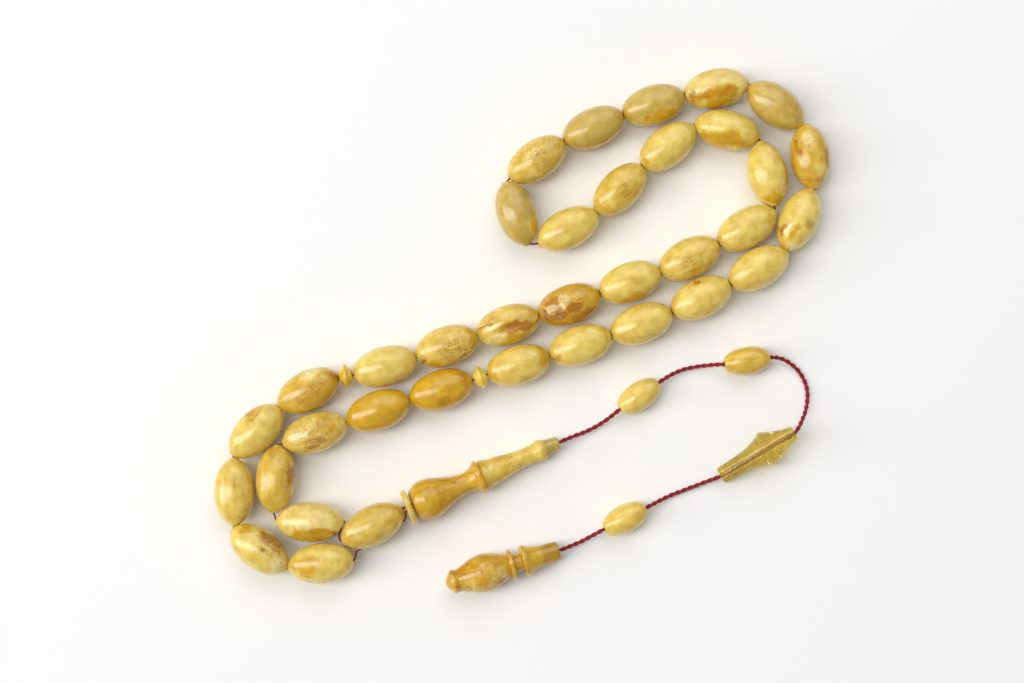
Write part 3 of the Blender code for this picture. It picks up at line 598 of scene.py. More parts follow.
loopOrder = ["bead_%02d" % k for k in range(1, 37)]
loopOrder.insert(31, "separator_2")
loopOrder.insert(6, "separator_1")
# lengths on the thread; lead: how far it runs straight past a face, inside: how far it goes into the leader,
# apart: half the distance between its two strands there
looped = {
    "bead": 15.1 * mm, "separator": 3.1 * mm, "radius": 4.8 * mm, "lead": 0.12 * mm,
    "inside": 5 * mm, "apart": 0.45 * mm,
}
# the thread's way round and under the first bead, in shares of a bead's half length, radius and radius
threadBend = {
    "out": [(1.12, -0.15, 0.79), (1.07, -0.42, 0.56)],
    "into": [(-0.98, 0.27, 0.46), (-1.045, 0.02, 0.60), (-1.055, 0.0, 0.79)],
    "under": [
        (0.82, 0.77, 0.84), (0.60, 0.75, 0.50), (0.31, 0.73, 0.21), (-0.05, 0.71, 0.12),
        (-0.42, 0.69, 0.20), (-0.68, 0.62, 0.36), (-0.88, 0.51, 0.55), (-1.03, 0.41, 0.72),
        (-1.09, 0.24, 0.87),
    ],
}


# places round a bead: its middle + x half a length along it + y radii to its left, z radii above the table
def beside(node, shares):
    middle, axes = placeOf(node)
    points = []
    for x, y, z in shares:
        point = middle + axes[0] * x * looped["bead"] / 2 + axes[1] * y * looped["radius"]
        points.append(np.array([point[0], point[1], z * looped["radius"]]))
    return points


# one smooth line from inside the leader through every bead and back, with the second strand under bead 1
def makeThread():
    foot, leaderAxes = leaderPlace()
    aside = {side: foot + leaderAxes[1] * side * looped["apart"] for side in (1, -1)}
    insideLeader = {side: aside[side] + leaderAxes[0] * looped["inside"] for side in aside}
    atCollar = {side: aside[side] - leaderAxes[0] * collarGap for side in aside}
    points = [insideLeader[1], atCollar[1]]
    for node in loopOrder:
        middle, axes = placeOf(node)
        half = looped[node.split("_")[0]] / 2
        if node == "bead_02":
            points += beside("bead_01", threadBend["out"]) + beside("bead_02", threadBend["into"])
        points += [middle + axes[0] * side * (half + looped["lead"]) for side in (-1, 1)]
    points += beside("bead_01", threadBend["under"]) + [atCollar[-1], insideLeader[-1]]
    fine = [points[0]]
    for before, after in zip(points, points[1:]):
        steps = max(1, int(np.linalg.norm(after - before) / thread["guide"]))
        fine += [before + (after - before) * (k + 1) / steps for k in range(steps)]
    path = smoothLine(fine, thread["step"])
    travelled = travelledAlong(path)
    grids, grooveShade = pliesAround(path, thread, travelled)
    piece = pieceFrom("thread_round_the_loop", grids, False)
    # painted shade in the grooves between yarns, for the thread's material
    giveValue(piece, "groove", grooveShade)
    finishPiece(piece, "loop", ["loop_thread"], material["thread"])
    print("thread length", round(lengthOf(path), 4))


# the knot: a ball of thread, its radius waved so that the turns show, with painted shade where the radius dips
# between turns
def makeKnot():
    low, high = (np.array(corner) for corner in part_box("finial_knot"))
    radius = (high - low).min() / 2
    middle = (low + high) / 2
    x = np.linspace(-0.985, 0.985, 40) * radius
    outline = np.column_stack([x, np.sqrt(radius**2 - x**2)])
    grid = turned(outline, 40)
    swell = 0.97 - 0.03 * np.cos(9 * np.arctan2(grid[..., 2], grid[..., 1]) + grid[..., 0] / radius * 4)
    piece = pieceFrom("knot", [grid * swell[..., None] + middle], False)
    # painted shade: darker where the radius dips between the turns
    giveValue(piece, "groove", np.append((1 - swell.ravel()) * 10, (0.3, 0.3)))
    finishPiece(piece, "tail_5", ["finial_knot"], material["thread"])


makeCord()
makeThread()
makeKnot()
print("cords done")


# beads

# swell: how unevenly a bead is polished, pit: how deep worn places are, hair: the thread left bare
beadShape = {
    "length": 15.1 * mm, "diameter": 9.6 * mm, "face": 3.0 * mm, "bore": 1.8 * mm, "edge": 0.7 * mm,
    "columns": 96, "spacing": 0.22 * mm, "swell": 0.05 * mm, "pit": 0.10 * mm, "hair": 0.2 * mm,
    "mostRoom": 0.5 * mm, "firstRoom": 0.6 * mm, "lip": 0.12 * mm,
}
groundTones = ("khaki", "honey", "cream", "clear")
tones = groundTones + ("crust", "speck", "thin")

# tone: how much of each tone the whole bead has. marks: (tone, along, across, reach along, reach across,
# strength), in shares of half the length and of the radius, seen from above. flats: (along, across,
# tilt along, tilt across, depth in mm, tone, strength). dents: (along, across, reach, reach, depth in mm)
beadLooks = {
    1: {
        "khaki": 0.5, "honey": 0.35,
        "marks": [("speck", 0.79, 0.1, 0.3, 0.4, 0.5), ("honey", -0.7, 0.2, 0.3, 0.6, 0.4)],
        "dents": [(0.82, 0.2, 0.25, 0.35, 0.12)],
    },
    2: {
        "cream": 0.45, "honey": 0.1,
        "marks": [
            ("clear", -0.3, 0.8, 0.66, 0.46, 1.0), ("honey", 0.34, 0.62, 0.26, 0.42, 0.9),
            ("speck", 0.45, 0.35, 0.3, 0.2, 0.5), ("cream", -0.05, 0.1, 0.8, 0.35, 0.8),
        ],
        "flats": [(-0.32, 0.7, 0.02, 0.16, 0.75, "honey", 0.65)],
        "dents": [(0.24, 0.75, 0.16, 0.3, 0.25)],
    },
    3: {
        "honey": 0.5,
        "marks": [
            ("clear", 0.13, -0.8, 0.36, 0.26, 0.9), ("clear", 0.74, 0.17, 0.19, 0.26, 0.5),
            ("crust", 0.1, -0.88, 0.24, 0.1, 0.7), ("speck", 0.1, -0.6, 0.4, 0.3, 0.7),
            ("khaki", 0.3, -0.3, 0.4, 0.3, 0.5),
        ],
    },
    4: {
        "honey": 0.3, "cream": 0.25,
        "marks": [
            ("honey", 0.5, 0.3, 0.45, 0.5, 0.9), ("clear", 0.0, -0.52, 0.6, 0.3, 0.5),
            ("crust", 0.05, -0.48, 0.4, 0.1, 0.7), ("crust", 0.3, -0.2, 0.3, 0.07, 0.6),
            ("crust", -0.1, -0.72, 0.35, 0.07, 0.7), ("crust", 0.25, 0.3, 0.05, 0.35, 0.6),
            ("cream", -0.5, 0.1, 0.3, 0.37, 0.8), ("speck", 0.0, 0.0, 0.8, 0.8, 0.8),
            ("crust", -0.75, 0.62, 0.05, 0.07, 1.0),
        ],
        "flats": [
            (0.62, 0.45, 0.1, 0.2, 0.3, "cream", 0.3), (0.35, 0.0, -0.12, -0.1, 0.22, "honey", 0.3),
            (0.1, 0.45, -0.1, 0.12, 0.2, "honey", 0.2),
        ],
        "dents": [
            (0.05, -0.42, 0.45, 0.16, 0.3), (-0.05, -0.72, 0.4, 0.12, 0.25), (0.28, 0.22, 0.12, 0.4, 0.2),
        ],
    },
    5: {"honey": 0.75, "khaki": 0.1},
    6: {
        "honey": 0.85,
        "marks": [("clear", -0.03, -0.59, 0.34, 0.3, 0.55), ("clear", 0.85, 0.2, 0.25, 0.5, 0.5)],
    },
    7: {
        "honey": 0.25, "khaki": 0.15,
        "marks": [
            ("honey", 0.85, 0.0, 0.25, 0.9, 0.7), ("honey", -0.9, 0.0, 0.2, 0.9, 0.6),
            ("speck", -0.11, 0.14, 0.2, 0.25, 0.35),
        ],
    },
    8: {
        "honey": 0.12,
        "marks": [
            ("speck", -0.72, 0.19, 0.14, 0.18, 1.0), ("clear", -0.85, -0.24, 0.15, 0.17, 0.6),
            ("honey", 0.85, 0.1, 0.2, 0.7, 0.5),
        ],
    },
    9: {
        "honey": 0.05, "cream": 0.1,
        "marks": [("clear", 0.84, 0.62, 0.16, 0.17, 0.5)],
    },
    10: {
        "honey": 0.08, "cream": 0.1,
        "marks": [("clear", 0.05, 0.83, 0.14, 0.18, 0.65), ("crust", -0.06, -0.76, 0.04, 0.06, 0.7)],
    },
    11: {"honey": 0.05, "cream": 0.15},
    12: {
        "cream": 0.25,
        "marks": [
            ("clear", -0.53, 0.6, 0.2, 0.24, 0.75), ("clear", -0.48, -0.02, 0.23, 0.24, 0.6),
            ("honey", -0.48, -0.02, 0.26, 0.3, 1.0), ("crust", -0.62, -0.5, 0.16, 0.3, 0.55),
            ("cream", -0.92, -0.35, 0.12, 0.5, 1.0), ("khaki", -0.06, -0.51, 0.17, 0.27, 0.8),
            ("cream", -0.5, 0.3, 0.22, 0.06, 1.0),
        ],
        "flats": [(-0.55, -0.1, -0.05, 0.0, 0.12, "honey", 0.3)],
    },
    13: {
        "honey": 0.6,
        "marks": [
            ("cream", 0.51, 0.1, 0.23, 0.3, 0.8), ("crust", 0.3, 0.05, 0.07, 0.2, 0.6),
            ("clear", 0.22, 0.7, 0.4, 0.14, 0.8), ("clear", -0.23, -0.78, 0.47, 0.13, 0.8),
            ("cream", -0.47, -0.28, 0.19, 0.33, 0.4), ("clear", -0.8, 0.0, 0.14, 0.6, 0.5),
            ("speck", 0.45, 0.1, 0.3, 0.35, 0.6),
        ],
        "flats": [(-0.47, -0.28, -0.06, -0.1, 0.14, "cream", 0.3)],
        "dents": [(0.36, 0.08, 0.14, 0.26, 0.16)],
    },
    14: {
        "khaki": 0.7, "honey": 0.2,
        "marks": [
            ("khaki", -0.74, 0.14, 0.34, 0.5, 0.9), ("crust", -0.35, -0.62, 0.34, 0.035, 0.6),
            ("crust", -0.4, -0.74, 0.34, 0.03, 0.6), ("crust", -0.46, -0.33, 0.1, 0.05, 0.7),
            ("speck", -0.4, -0.3, 0.5, 0.5, 0.4), ("crust", 0.2, 0.1, 0.02, 0.35, 0.25),
        ],
    },
    15: {
        "cream": 0.45, "khaki": 0.3,
        "marks": [
            ("honey", 0.05, 0.42, 0.9, 0.34, 1.0), ("clear", 0.1, 0.4, 0.8, 0.26, 0.55),
            ("crust", 0.84, 0.17, 0.14, 0.22, 0.7), ("crust", 0.5, 0.42, 0.3, 0.12, 0.3),
            ("honey", 0.07, 0.84, 0.54, 0.16, 1.0), ("crust", -0.66, 0.43, 0.13, 0.06, 0.9),
            ("honey", 0.0, -0.9, 0.9, 0.25, 0.7),
        ],
    },
    16: {
        "khaki": 0.75, "honey": 0.1,
        "marks": [("honey", -0.1, 0.75, 0.7, 0.25, 0.9)],
    },
    17: {"khaki": 0.8, "honey": 0.25},
    18: {
        "khaki": 0.35, "honey": 0.4,
        "marks": [
            ("speck", -0.06, -0.07, 0.4, 0.6, 1.0), ("crust", -0.12, 0.1, 0.24, 0.3, 0.45),
            ("speck", -0.64, -0.06, 0.28, 0.45, 0.8), ("cream", 0.12, -0.25, 0.25, 0.3, 0.5),
        ],
        "dents": [(-0.05, 0.0, 0.2, 0.3, 0.1), (-0.5, -0.1, 0.2, 0.12, 0.1)],
    },
    19: {
        "khaki": 0.85, "honey": 0.1,
        "marks": [("honey", 0.69, 0.6, 0.3, 0.25, 1.0), ("speck", 0.0, 0.1, 0.5, 0.2, 0.4)],
    },
    20: {
        "honey": 0.03, "cream": 0.1,
        "marks": [("crust", 0.39, -0.45, 0.04, 0.08, 0.6)],
    },
    21: {
        "honey": 0.45, "khaki": 0.2,
        "marks": [
            ("speck", -0.02, -0.29, 0.3, 0.45, 0.8), ("clear", -0.02, -0.45, 0.3, 0.3, 0.25),
            ("honey", -0.8, 0.0, 0.3, 0.8, 0.6),
        ],
    },
    22: {
        "honey": 0.03, "cream": 0.2,
        "marks": [("honey", -0.95, -0.04, 0.12, 0.3, 0.8)],
    },
    23: {
        "cream": 0.1,
        "marks": [("honey", 0.0, -0.62, 0.95, 0.42, 0.95), ("clear", 0.05, -0.6, 0.6, 0.16, 0.3)],
    },
    24: {
        "cream": 0.2,
        "marks": [("honey", 0.86, 0.04, 0.2, 0.6, 0.9), ("honey", 0.2, 0.85, 0.8, 0.2, 0.6)],
    },
    25: {
        "cream": 0.1, "honey": 0.08,
        "marks": [("honey", -0.8, 0.3, 0.25, 0.5, 0.5)],
    },
    26: {
        "honey": 0.35,
        "marks": [
            ("speck", 0.04, 0.19, 0.46, 0.4, 0.9), ("speck", -0.79, 0.31, 0.14, 0.15, 0.9),
            ("crust", -0.02, 0.12, 0.1, 0.14, 0.4), ("honey", 0.0, 0.7, 0.6, 0.3, 0.6),
        ],
        "dents": [(0.0, 0.15, 0.2, 0.25, 0.1)],
    },
    27: {
        "cream": 0.1, "khaki": 0.15,
        "marks": [("speck", -0.13, 0.04, 0.37, 0.39, 0.35), ("honey", 0.1, 0.85, 0.6, 0.2, 0.7)],
    },
    28: {
        "honey": 0.7,
        "marks": [
            ("clear", 0.55, 0.1, 0.55, 1.0, 0.7), ("clear", -0.3, 0.75, 0.9, 0.3, 0.6),
            ("cream", 0.18, -0.15, 0.2, 0.4, 0.7), ("khaki", -0.45, -0.45, 0.45, 0.4, 0.7),
            ("crust", 0.42, 0.42, 0.24, 0.2, 0.9), ("crust", 0.86, 0.1, 0.12, 0.6, 0.8),
            ("crust", 0.58, 0.24, 0.24, 0.12, 0.8), ("crust", -0.65, -0.3, 0.2, 0.08, 0.6),
            ("speck", 0.0, 0.0, 0.9, 0.9, 0.8), ("crust", 0.3, 0.1, 0.05, 0.3, 0.6),
        ],
        "flats": [(0.53, -0.04, 0.1, 0.12, 0.15, "khaki", 0.6), (-0.09, 0.29, 0.0, 0.05, 0.24, "clear", 1.0)],
        "dents": [(0.48, 0.42, 0.14, 0.16, 0.35), (0.85, 0.1, 0.1, 0.3, 0.2)],
    },
    29: {
        "honey": 0.45, "khaki": 0.35,
        "marks": [
            ("cream", 0.55, 0.6, 0.45, 0.34, 0.9), ("honey", 0.08, 0.12, 0.4, 0.2, 1.0),
            ("clear", -0.32, 0.34, 0.56, 0.34, 1.0), ("crust", -0.3, 0.36, 0.5, 0.2, 0.55),
            ("cream", 0.42, -0.12, 0.36, 0.14, 0.8), ("crust", 0.6, -0.3, 0.34, 0.09, 0.8),
            ("crust", 0.84, -0.25, 0.16, 0.08, 0.95), ("crust", 0.2, 0.3, 0.45, 0.07, 0.8),
            ("honey", -0.1, 0.8, 0.6, 0.2, 0.7),
        ],
        "flats": [(-0.78, 0.15, -0.1, 0.0, 0.16, "cream", 0.2), (-0.3, 0.58, 0.0, -0.28, 0.18, "honey", 0.2)],
        "dents": [(0.05, 0.25, 0.62, 0.28, 0.75), (0.6, -0.28, 0.35, 0.1, 0.3), (-0.3, 0.42, 0.35, 0.2, 0.3)],
    },
    30: {
        "honey": 0.4, "khaki": 0.3,
        "marks": [
            ("speck", -0.17, 0.3, 0.8, 0.5, 1.0), ("clear", -0.38, 0.5, 0.3, 0.32, 0.45),
            ("crust", 0.87, 0.43, 0.12, 0.1, 0.9), ("honey", -0.85, 0.0, 0.2, 0.8, 0.7),
            ("honey", 0.6, 0.6, 0.4, 0.3, 0.7),
        ],
        "dents": [(0.86, 0.42, 0.12, 0.12, 0.2)],
    },
    31: {"honey": 0.1, "khaki": 0.2},
    32: {
        "honey": 0.6, "khaki": 0.35,
        "marks": [
            ("speck", -0.14, 0.14, 0.61, 0.4, 1.0), ("clear", -0.92, 0.11, 0.12, 0.5, 0.7),
            ("cream", -0.38, -0.63, 0.38, 0.25, 0.8),
        ],
    },
    33: {
        "honey": 0.15, "cream": 0.1,
        "marks": [("honey", -0.34, -0.72, 0.34, 0.4, 1.0), ("clear", -0.34, -0.66, 0.22, 0.16, 0.5)],
        "dents": [(-0.34, -0.7, 0.3, 0.22, 0.5)],
    },
    34: {
        "honey": 0.35, "khaki": 0.15,
        "marks": [
            ("clear", 0.1, 0.15, 0.8, 0.1, 0.4), ("cream", 0.0, -0.45, 0.7, 0.12, 0.5),
            ("clear", 0.0, 0.75, 0.8, 0.12, 0.4),
        ],
    },
    35: {
        "cream": 0.25, "honey": 0.1,
        "marks": [
            ("clear", 0.15, 0.7, 0.75, 0.4, 0.45), ("crust", 0.12, 0.8, 0.7, 0.2, 0.8),
            ("crust", 0.2, 0.09, 0.1, 0.14, 0.8), ("honey", -0.75, 0.45, 0.23, 0.33, 0.8),
            ("crust", 0.45, 0.45, 0.35, 0.06, 0.7), ("speck", 0.4, 0.5, 0.7, 0.6, 1.0),
            ("cream", 0.75, 0.0, 0.25, 0.5, 0.9),
        ],
        "dents": [(0.15, 0.8, 0.35, 0.2, 0.25), (0.2, 0.09, 0.1, 0.13, 0.15)],
    },
    36: {
        "honey": 0.15, "khaki": 0.2,
        "marks": [("clear", -0.5, -0.1, 0.36, 0.5, 0.6), ("honey", -0.4, 0.0, 0.45, 0.7, 0.7)],
    },
}


# half the ellipse that the outside of a bead follows: r = b sqrt(1 - (x / k)^2), with k chosen so that
# the ends come out at the face's radius
def beadCurve(length, diameter, face):
    k = length / 2 / math.sqrt(1 - (face / diameter) ** 2)
    return k, lambda x: diameter / 2 * np.sqrt(np.clip(1 - (x / k) ** 2, 0, 1))


# the rim of each face rises a little round the thread, by the room that a neighbour leaves
def beadOutline(values, before=0.0, after=0.0):
    k, curve = beadCurve(values["length"], values["diameter"], values["face"])
    turn = np.linspace(-1, 1, 45) * math.asin(values["length"] / 2 / k)
    outer = [(k * math.sin(t), float(curve(k * math.sin(t))), 0) for t in turn]
    outer[0] = (*outer[0][:2], values["edge"])
    outer[-1] = (*outer[-1][:2], values["edge"])
    half, bore = values["length"] / 2, values["bore"] / 2
    lip = bore + beadShape["lip"]
    ends = [(half + after, lip, 0.1 * mm), (half + after, bore, 0.05 * mm), (-half - before, bore, 0.05 * mm)]
    return outer + ends + [(-half - before, lip, 0.1 * mm)]


# an amber piece gets its tones and its own points, and stands for the node that it is named after
def finishAmber(piece, name, slot, given, grid, seed):
    for tone in tones:
        giveValue(piece, tone, np.clip(given[tone], 0, 1))
    ownPoints(piece, grid, seed)
    finishPiece(piece, name, [name], material[slot])


# half of the bare thread between neighbours on the loop, less a hair's breadth
def endRooms():
    rooms = {node: [0.0, 0.0] for node in loopOrder}
    for node, following in zip(loopOrder, loopOrder[1:]):
        here, axes = placeOf(node)
        there, axesThere = placeOf(following)
        end = here + axes[0] * looped[node.split("_")[0]] / 2
        start = there - axesThere[0] * looped[following.split("_")[0]] / 2
        room = (np.linalg.norm(start - end) - beadShape["hair"]) / 2
        rooms[node][1] = rooms[following][0] = float(np.clip(room, 0, beadShape["mostRoom"]))
    rooms["bead_01"][0] = beadShape["firstRoom"]
    return rooms


# a tone brought up to a mask where the mask is stronger
def raiseTone(given, tone, mask):
    given[tone] = np.maximum(given[tone], mask)


# tones taken away by a mask: tone times (1 - mask)
def fadeTones(given, faded, mask):
    for tone in faded:
        given[tone] = given[tone] * (1 - mask)


# how far a point is inside an ellipse drawn on the bead from above, with a wavering edge: 1 in, 0 out
def markOn(local, size, mark, waver, bent):
    along, across = local[..., 0] / size[0] + bent[0], local[..., 1] / size[1] + bent[1]
    apart = np.hypot((along - mark[0]) / mark[2], (across - mark[1]) / mark[3]) + waver
    return (1 - softStep(apart, 0.35, 1.45)) * softStep(local[..., 2] / size[1], -0.3, 0.05)


# the point of the bead's upper side over a place seen from above, and the way out there
def onTop(place, size, k):
    x, y = place[0] * size[0], place[1] * size[1]
    radius = size[1] * math.sqrt(max(1 - (x / k) ** 2, 0.02))
    y = float(np.clip(y, -0.97 * radius, 0.97 * radius))
    z = math.sqrt(radius**2 - y**2)
    return np.array([x, y, z]), np.array([x / k**2, y / size[1] ** 2, z / size[1] ** 2])


# a turned barrel pushed along its normal by push(x, y), then planed where a flat is drawn: a point above the
# flat's plane goes down onto it
def makeBead(number):
    name = "bead_%02d" % number
    look = beadLooks[number]
    values = beadShape
    middle, axes = placeOf(name)
    k = beadCurve(values["length"], values["diameter"], values["face"])[0]
    outline = roundedOutline(beadOutline(values, *rooms[name]), values["spacing"])
    grid = turned(outline, values["columns"])
    size = (values["length"] / 2, values["diameter"] / 2)
    outer = softStep(np.hypot(grid[..., 1], grid[..., 2]), values["bore"] * 0.55, values["bore"] * 0.75)
    seeded = grid / mm + number * 13.7
    given = {tone: np.full(grid.shape[:2], look.get(tone, 0.0)) for tone in tones}
    # painted shade: each bead's ends are taken towards honey, darker towards its rims
    ends = softStep(np.abs(grid[..., 0]) / size[0], 0.62, 1.02)
    raiseTone(given, "honey", ends * (0.1 + 0.5 * clouds(seeded, 5.0, 3)))
    waver = 1.1 * (clouds(seeded, 1.3, 5, 4) - 0.5)
    bent = 0.30 * (clouds(seeded, 2.6, 21, 4) - 0.5), 0.42 * (clouds(seeded, 2.2, 22, 4) - 0.5)
    push = np.zeros(grid.shape[:2])
    for tone, along, across, reachAlong, reachAcross, strength in look.get("marks", []):
        mask = markOn(grid, size, (along, across, reachAlong, reachAcross), waver, bent) * strength
        if tone in ("cream", "honey"):
            fadeTones(given, groundTones, mask)
        raiseTone(given, tone, mask)
        if tone in ("crust", "speck"):
            push -= mask * values["pit"] * clouds(seeded, 0.7, 9)
    normal = unit(grid * np.array([1 / k**2, 1 / size[1] ** 2, 1 / size[1] ** 2]))
    for along, across, reachAlong, reachAcross, depth in look.get("dents", []):
        offAlong = (grid[..., 0] / size[0] - along) / reachAlong
        apart = np.hypot(offAlong, (grid[..., 1] / size[1] - across) / reachAcross)
        hollow = np.clip(1 - (apart + 0.25 * waver) ** 2, 0, 1) ** 1.5 * (grid[..., 2] > 0)
        push -= hollow * depth * mm
    push += values["swell"] * (clouds(seeded, 4.5, 7) - 0.9)
    shaped = grid + normal * (push * outer)[..., None]
    for along, across, tiltAlong, tiltAcross, depth, tone, strength in look.get("flats", []):
        top, out = onTop((along, across), size, k)
        facing = unit(unit(out) + np.array([tiltAlong, tiltAcross, 0]))
        above = np.maximum(0, (shaped - top) @ facing + depth * mm + values["swell"] * (waver + 0.2))
        shaped = shaped - above[..., None] * facing * outer[..., None]
        flat = softStep(above, 0.0, 0.03 * mm) * strength
        fadeTones(given, groundTones, flat)
        raiseTone(given, tone, flat)
    piece = pieceFrom("amber_" + name, [middle + shaped @ axes], True)
    finishAmber(piece, name, "bead", given, grid, number)


rooms = endRooms()
for number in beadLooks:
    makeBead(number)
print("beads done")


# turned pieces: leader, collar, separators, small beads, spindle and finial

# outlines are (distance, diameter, rounding) corners in mm; the bore's corners come back from the far end;
# slot: the slot's name where it isn't the kind's
turnedPieces = {
    "leader": {
        "outer": [
            (0, 6.4, 0.5), (1.2, 8.5, 0.8), (2.5, 9.75, 1.2), (3.7, 10.0, 1.2), (5.2, 9.75, 1.5),
            (7.2, 8.4, 2.0), (9.6, 6.5, 2.5), (12.0, 5.1, 2.0), (13.8, 4.7, 1.5), (15.3, 5.3, 1.2),
            (16.5, 7.0, 0.5), (16.9, 8.2, 0.25), (17.8, 8.2, 0.25), (17.85, 6.9, 0.1), (18.2, 6.9, 0.1),
            (18.3, 7.5, 0.25), (19.1, 7.4, 0.3), (19.8, 6.6, 0.6), (21.5, 6.3, 1.5), (24.0, 5.6, 2.0),
            (26.9, 4.5, 2.0), (29.5, 4.3, 1.5), (31.8, 4.5, 1.0), (32.8, 5.4, 0.35), (33.7, 5.3, 0.35),
            (34.5, 4.3, 0.6), (36.2, 3.5, 1.0), (38.1, 3.2, 0.3),
        ],
        "inner": [
            (38.1, 2.0, 0.15), (37.6, 1.5, 0.1), (31.0, 1.5, 0.1), (31.0, 2.0, 0.1), (8.0, 2.0, 0.1),
            (8.0, 3.2, 0.1), (0, 3.2, 0.2),
        ],
        "columns": 128, "spacing": 0.2,
        "tones": {"honey": 0.7, "khaki": 0.4, "clear": 0.27},
    },
    "collar_disc": {
        "slot": "collar",
        "outer": [
            (0.1, 5.0, 0.2), (0.0, 7.4, 0.5), (0.0, 8.8, 0.45), (1.4, 8.8, 0.45), (1.4, 7.4, 0.5),
            (1.3, 5.0, 0.2),
        ],
        "inner": [(1.3, 3.2, 0.1), (0.1, 3.2, 0.1)],
        "columns": 96, "spacing": 0.15,
        "tones": {"honey": 0.25},
    },
    "separator": {
        "outer": [
            (-1.55, 3.2, 0.3), (-0.7, 4.3, 0.6), (-0.35, 5.5, 0.3), (-0.2, 5.9, 0.15), (0.2, 5.9, 0.15),
            (0.4, 5.5, 0.3), (0.8, 4.4, 0.6), (1.55, 3.2, 0.3),
        ],
        "inner": [(1.55, 1.8, 0.1), (-1.55, 1.8, 0.1)],
        "columns": 72, "spacing": 0.15,
        "tones": {},
    },
    "spindle": {
        "outer": [
            (0, 3.5, 0.2), (0.8, 3.9, 0.5), (2.0, 4.3, 0.8), (3.6, 5.2, 1.2), (5.4, 6.8, 1.2),
            (6.8, 8.3, 0.5), (7.2, 8.8, 0.25), (8.1, 8.8, 0.25), (8.4, 8.0, 0.4), (9.8, 6.7, 1.2),
            (12.0, 5.4, 1.5), (14.2, 4.9, 1.5), (17.5, 4.4, 1.5), (20.4, 4.2, 0.3),
        ],
        "inner": [(20.4, 2.2, 0.3), (19.8, 1.5, 0.2), (0.6, 1.5, 0.2), (0, 2.2, 0.3)],
        "columns": 112, "spacing": 0.2,
        "tones": {"thin": 1.0},
    },
    "finial": {
        "outer": [
            (0, 4.5, 0.2), (1.5, 4.9, 0.8), (4.0, 4.7, 1.0), (6.0, 5.4, 1.0), (7.6, 6.8, 0.5),
            (8.1, 7.5, 0.2), (9.0, 7.5, 0.25), (9.1, 4.3, 0.2), (11.2, 4.3, 0.2), (11.3, 7.5, 0.25),
            (12.2, 7.5, 0.2), (12.25, 5.0, 0.2), (13.2, 6.0, 0.8), (15.4, 8.0, 1.5), (17.4, 9.0, 1.5),
            (18.8, 9.2, 1.2), (20.6, 8.7, 1.5), (23.0, 6.7, 1.5), (25.2, 5.1, 0.5), (25.7, 5.8, 0.2),
            (26.5, 5.7, 0.25), (26.8, 4.4, 0.3), (27.5, 3.0, 0.4), (28.0, 1.2, 0.2),
        ],
        "inner": [
            (28.0, 0.3, 0.0), (17.2, 0.3, 0.0), (17.0, 2.9, 0.1), (14.7, 2.9, 0.1), (14.7, 2.0, 0.1),
            (7.0, 2.0, 0.1), (7.0, 1.5, 0.1), (0.5, 1.5, 0.1), (0, 2.0, 0.15),
        ],
        "columns": 128, "spacing": 0.2,
        "tones": {"honey": 0.7},
    },
    "tail_bead": {
        "columns": 88, "spacing": 0.18,
        "tones": {"honey": 0.1},
    },
}
tailBeadShape = {
    "length": 11.0 * mm, "diameter": 6.8 * mm, "face": 2.8 * mm, "bore": 2.0 * mm, "edge": 0.35 * mm,
}


# wear: how uneven a turned surface is, growing from 0 between the two radii of skin, so that bores stay
# round; pit: how deep crust is eaten away, outside the radius pitFrom
turnedWear = {"wear": 0.05 * mm, "pit": 0.08 * mm, "skin": (1.5 * mm, 2.2 * mm), "pitFrom": 1.7 * mm}


# what sets each turned piece apart: tone by place, from the distance along (mm) and the angle round it
def leaderTones(given, local, clouded):
    x = local[..., 0] / mm
    neck = softStep(x, 7, 10) * (1 - softStep(x, 16, 17))
    barrel = softStep(x, 20, 25) * (1 - softStep(x, 34, 36))
    q = np.arctan2(local[..., 2], local[..., 1])
    lines = clouds(np.stack([x * 0.25, np.cos(q) * 3, np.sin(q) * 3], -1), 0.7, 31, 3)
    raiseTone(given, "clear", neck * softStep(lines, 0.55, 0.75) * 0.5)
    fadeTones(given, ["honey"], 0.8 * softStep(x, 18, 20))
    fadeTones(given, ["khaki", "clear"], softStep(x, 17, 19))
    raiseTone(given, "speck", barrel * 0.8 * softStep(clouded, 0.4, 0.6))
    raiseTone(given, "crust", barrel * softStep(lines, 0.68, 0.8) * 0.8)
    raiseTone(given, "cream", softStep(x, 33, 35) * 0.3)
    given["thin"] = softStep(x, 33.9, 35.2)


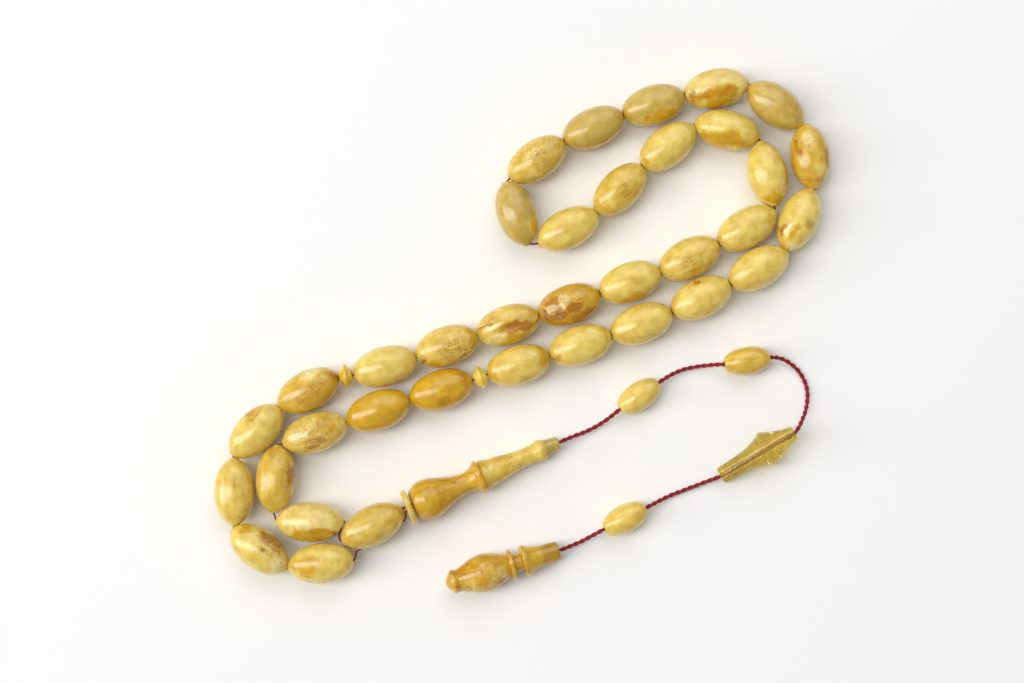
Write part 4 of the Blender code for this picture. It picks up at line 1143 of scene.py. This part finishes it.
# the finial is mottled round its bulb, deeper at its rims and clear at its mouth
def finialTones(given, local, clouded):
    x = local[..., 0] / mm
    bulb = softStep(x, 12.5, 14) * (1 - softStep(x, 26, 27))
    patches = clouds(local / mm, 3.0, 77, 4)
    rims = softStep(x, 7.8, 8.3) * (1 - softStep(x, 12.2, 12.6)) + softStep(x, 25.0, 25.6)
    raiseTone(given, "cream", bulb * softStep(clouded, 0.50, 0.62) * 0.45)
    raiseTone(given, "khaki", bulb * softStep(patches, 0.46, 0.58) * 0.9)
    clearer = np.maximum(bulb * softStep(1 - clouded, 0.50, 0.60) * 0.45, rims * 0.35)
    raiseTone(given, "clear", clearer)
    raiseTone(given, "crust", bulb * softStep(patches, 0.60, 0.70) * 0.7)
    raiseTone(given, "speck", bulb * softStep(clouded, 0.50, 0.62) * 0.5)
    given["thin"] = 1 - softStep(x, 3.0, 6.0)


tonesByPlace = {"leader": leaderTones, "finial": finialTones}


# a turned piece: its outline carried round its bore, with a radius that varies by a few hundredths of a mm
def makeTurned(name, kind, seed, extra):
    values = turnedPieces[kind]
    if kind == "tail_bead":
        outline = beadOutline(tailBeadShape)
    else:
        outline = [(x * mm, d / 2 * mm, e * mm) for x, d, e in values["outer"] + values["inner"]]
    start, axes = leaderPlace() if kind == "leader" else placeOf(name)
    grid = turned(roundedOutline(outline, values["spacing"] * mm), values["columns"])
    clouded = clouds(grid / mm + seed * 7.7, 2.4, seed, 4)
    given = {tone: np.full(grid.shape[:2], {**values["tones"], **extra}.get(tone, 0.0)) for tone in tones}
    if kind in tonesByPlace:
        tonesByPlace[kind](given, grid, clouded)
    radial = grid * np.array([0, 1, 1])
    reach = np.hypot(grid[..., 1], grid[..., 2])
    worn = softStep(reach, *turnedWear["skin"]) * turnedWear["wear"] * (clouds(grid / mm + seed, 1.8, 3) - 0.9)
    worn = worn - given["crust"] * turnedWear["pit"] * (reach > turnedWear["pitFrom"])
    shaped = grid + radial / np.maximum(reach, 1e-6)[..., None] * worn[..., None]
    piece = pieceFrom("amber_" + name, [start + shaped @ axes], True, 30)
    finishAmber(piece, name, values.get("slot", kind), given, grid, seed)


# name, kind, seed and the tones that it has more or less of than its kind
for name, kind, seed, extra in (
    ("leader", "leader", 41, {}), ("collar_disc", "collar_disc", 42, {}),
    ("separator_1", "separator", 43, {"cream": 0.1}), ("separator_2", "separator", 44, {"honey": 0.5}),
    ("spindle", "spindle", 45, {}), ("finial", "finial", 46, {}),
    ("tail_bead_1", "tail_bead", 47, {"honey": 0.2}), ("tail_bead_2", "tail_bead", 48, {"honey": 0.5}),
    ("tail_bead_3", "tail_bead", 49, {"honey": 0.3}),
):
    makeTurned(name, kind, seed, extra)
print("turned pieces done")
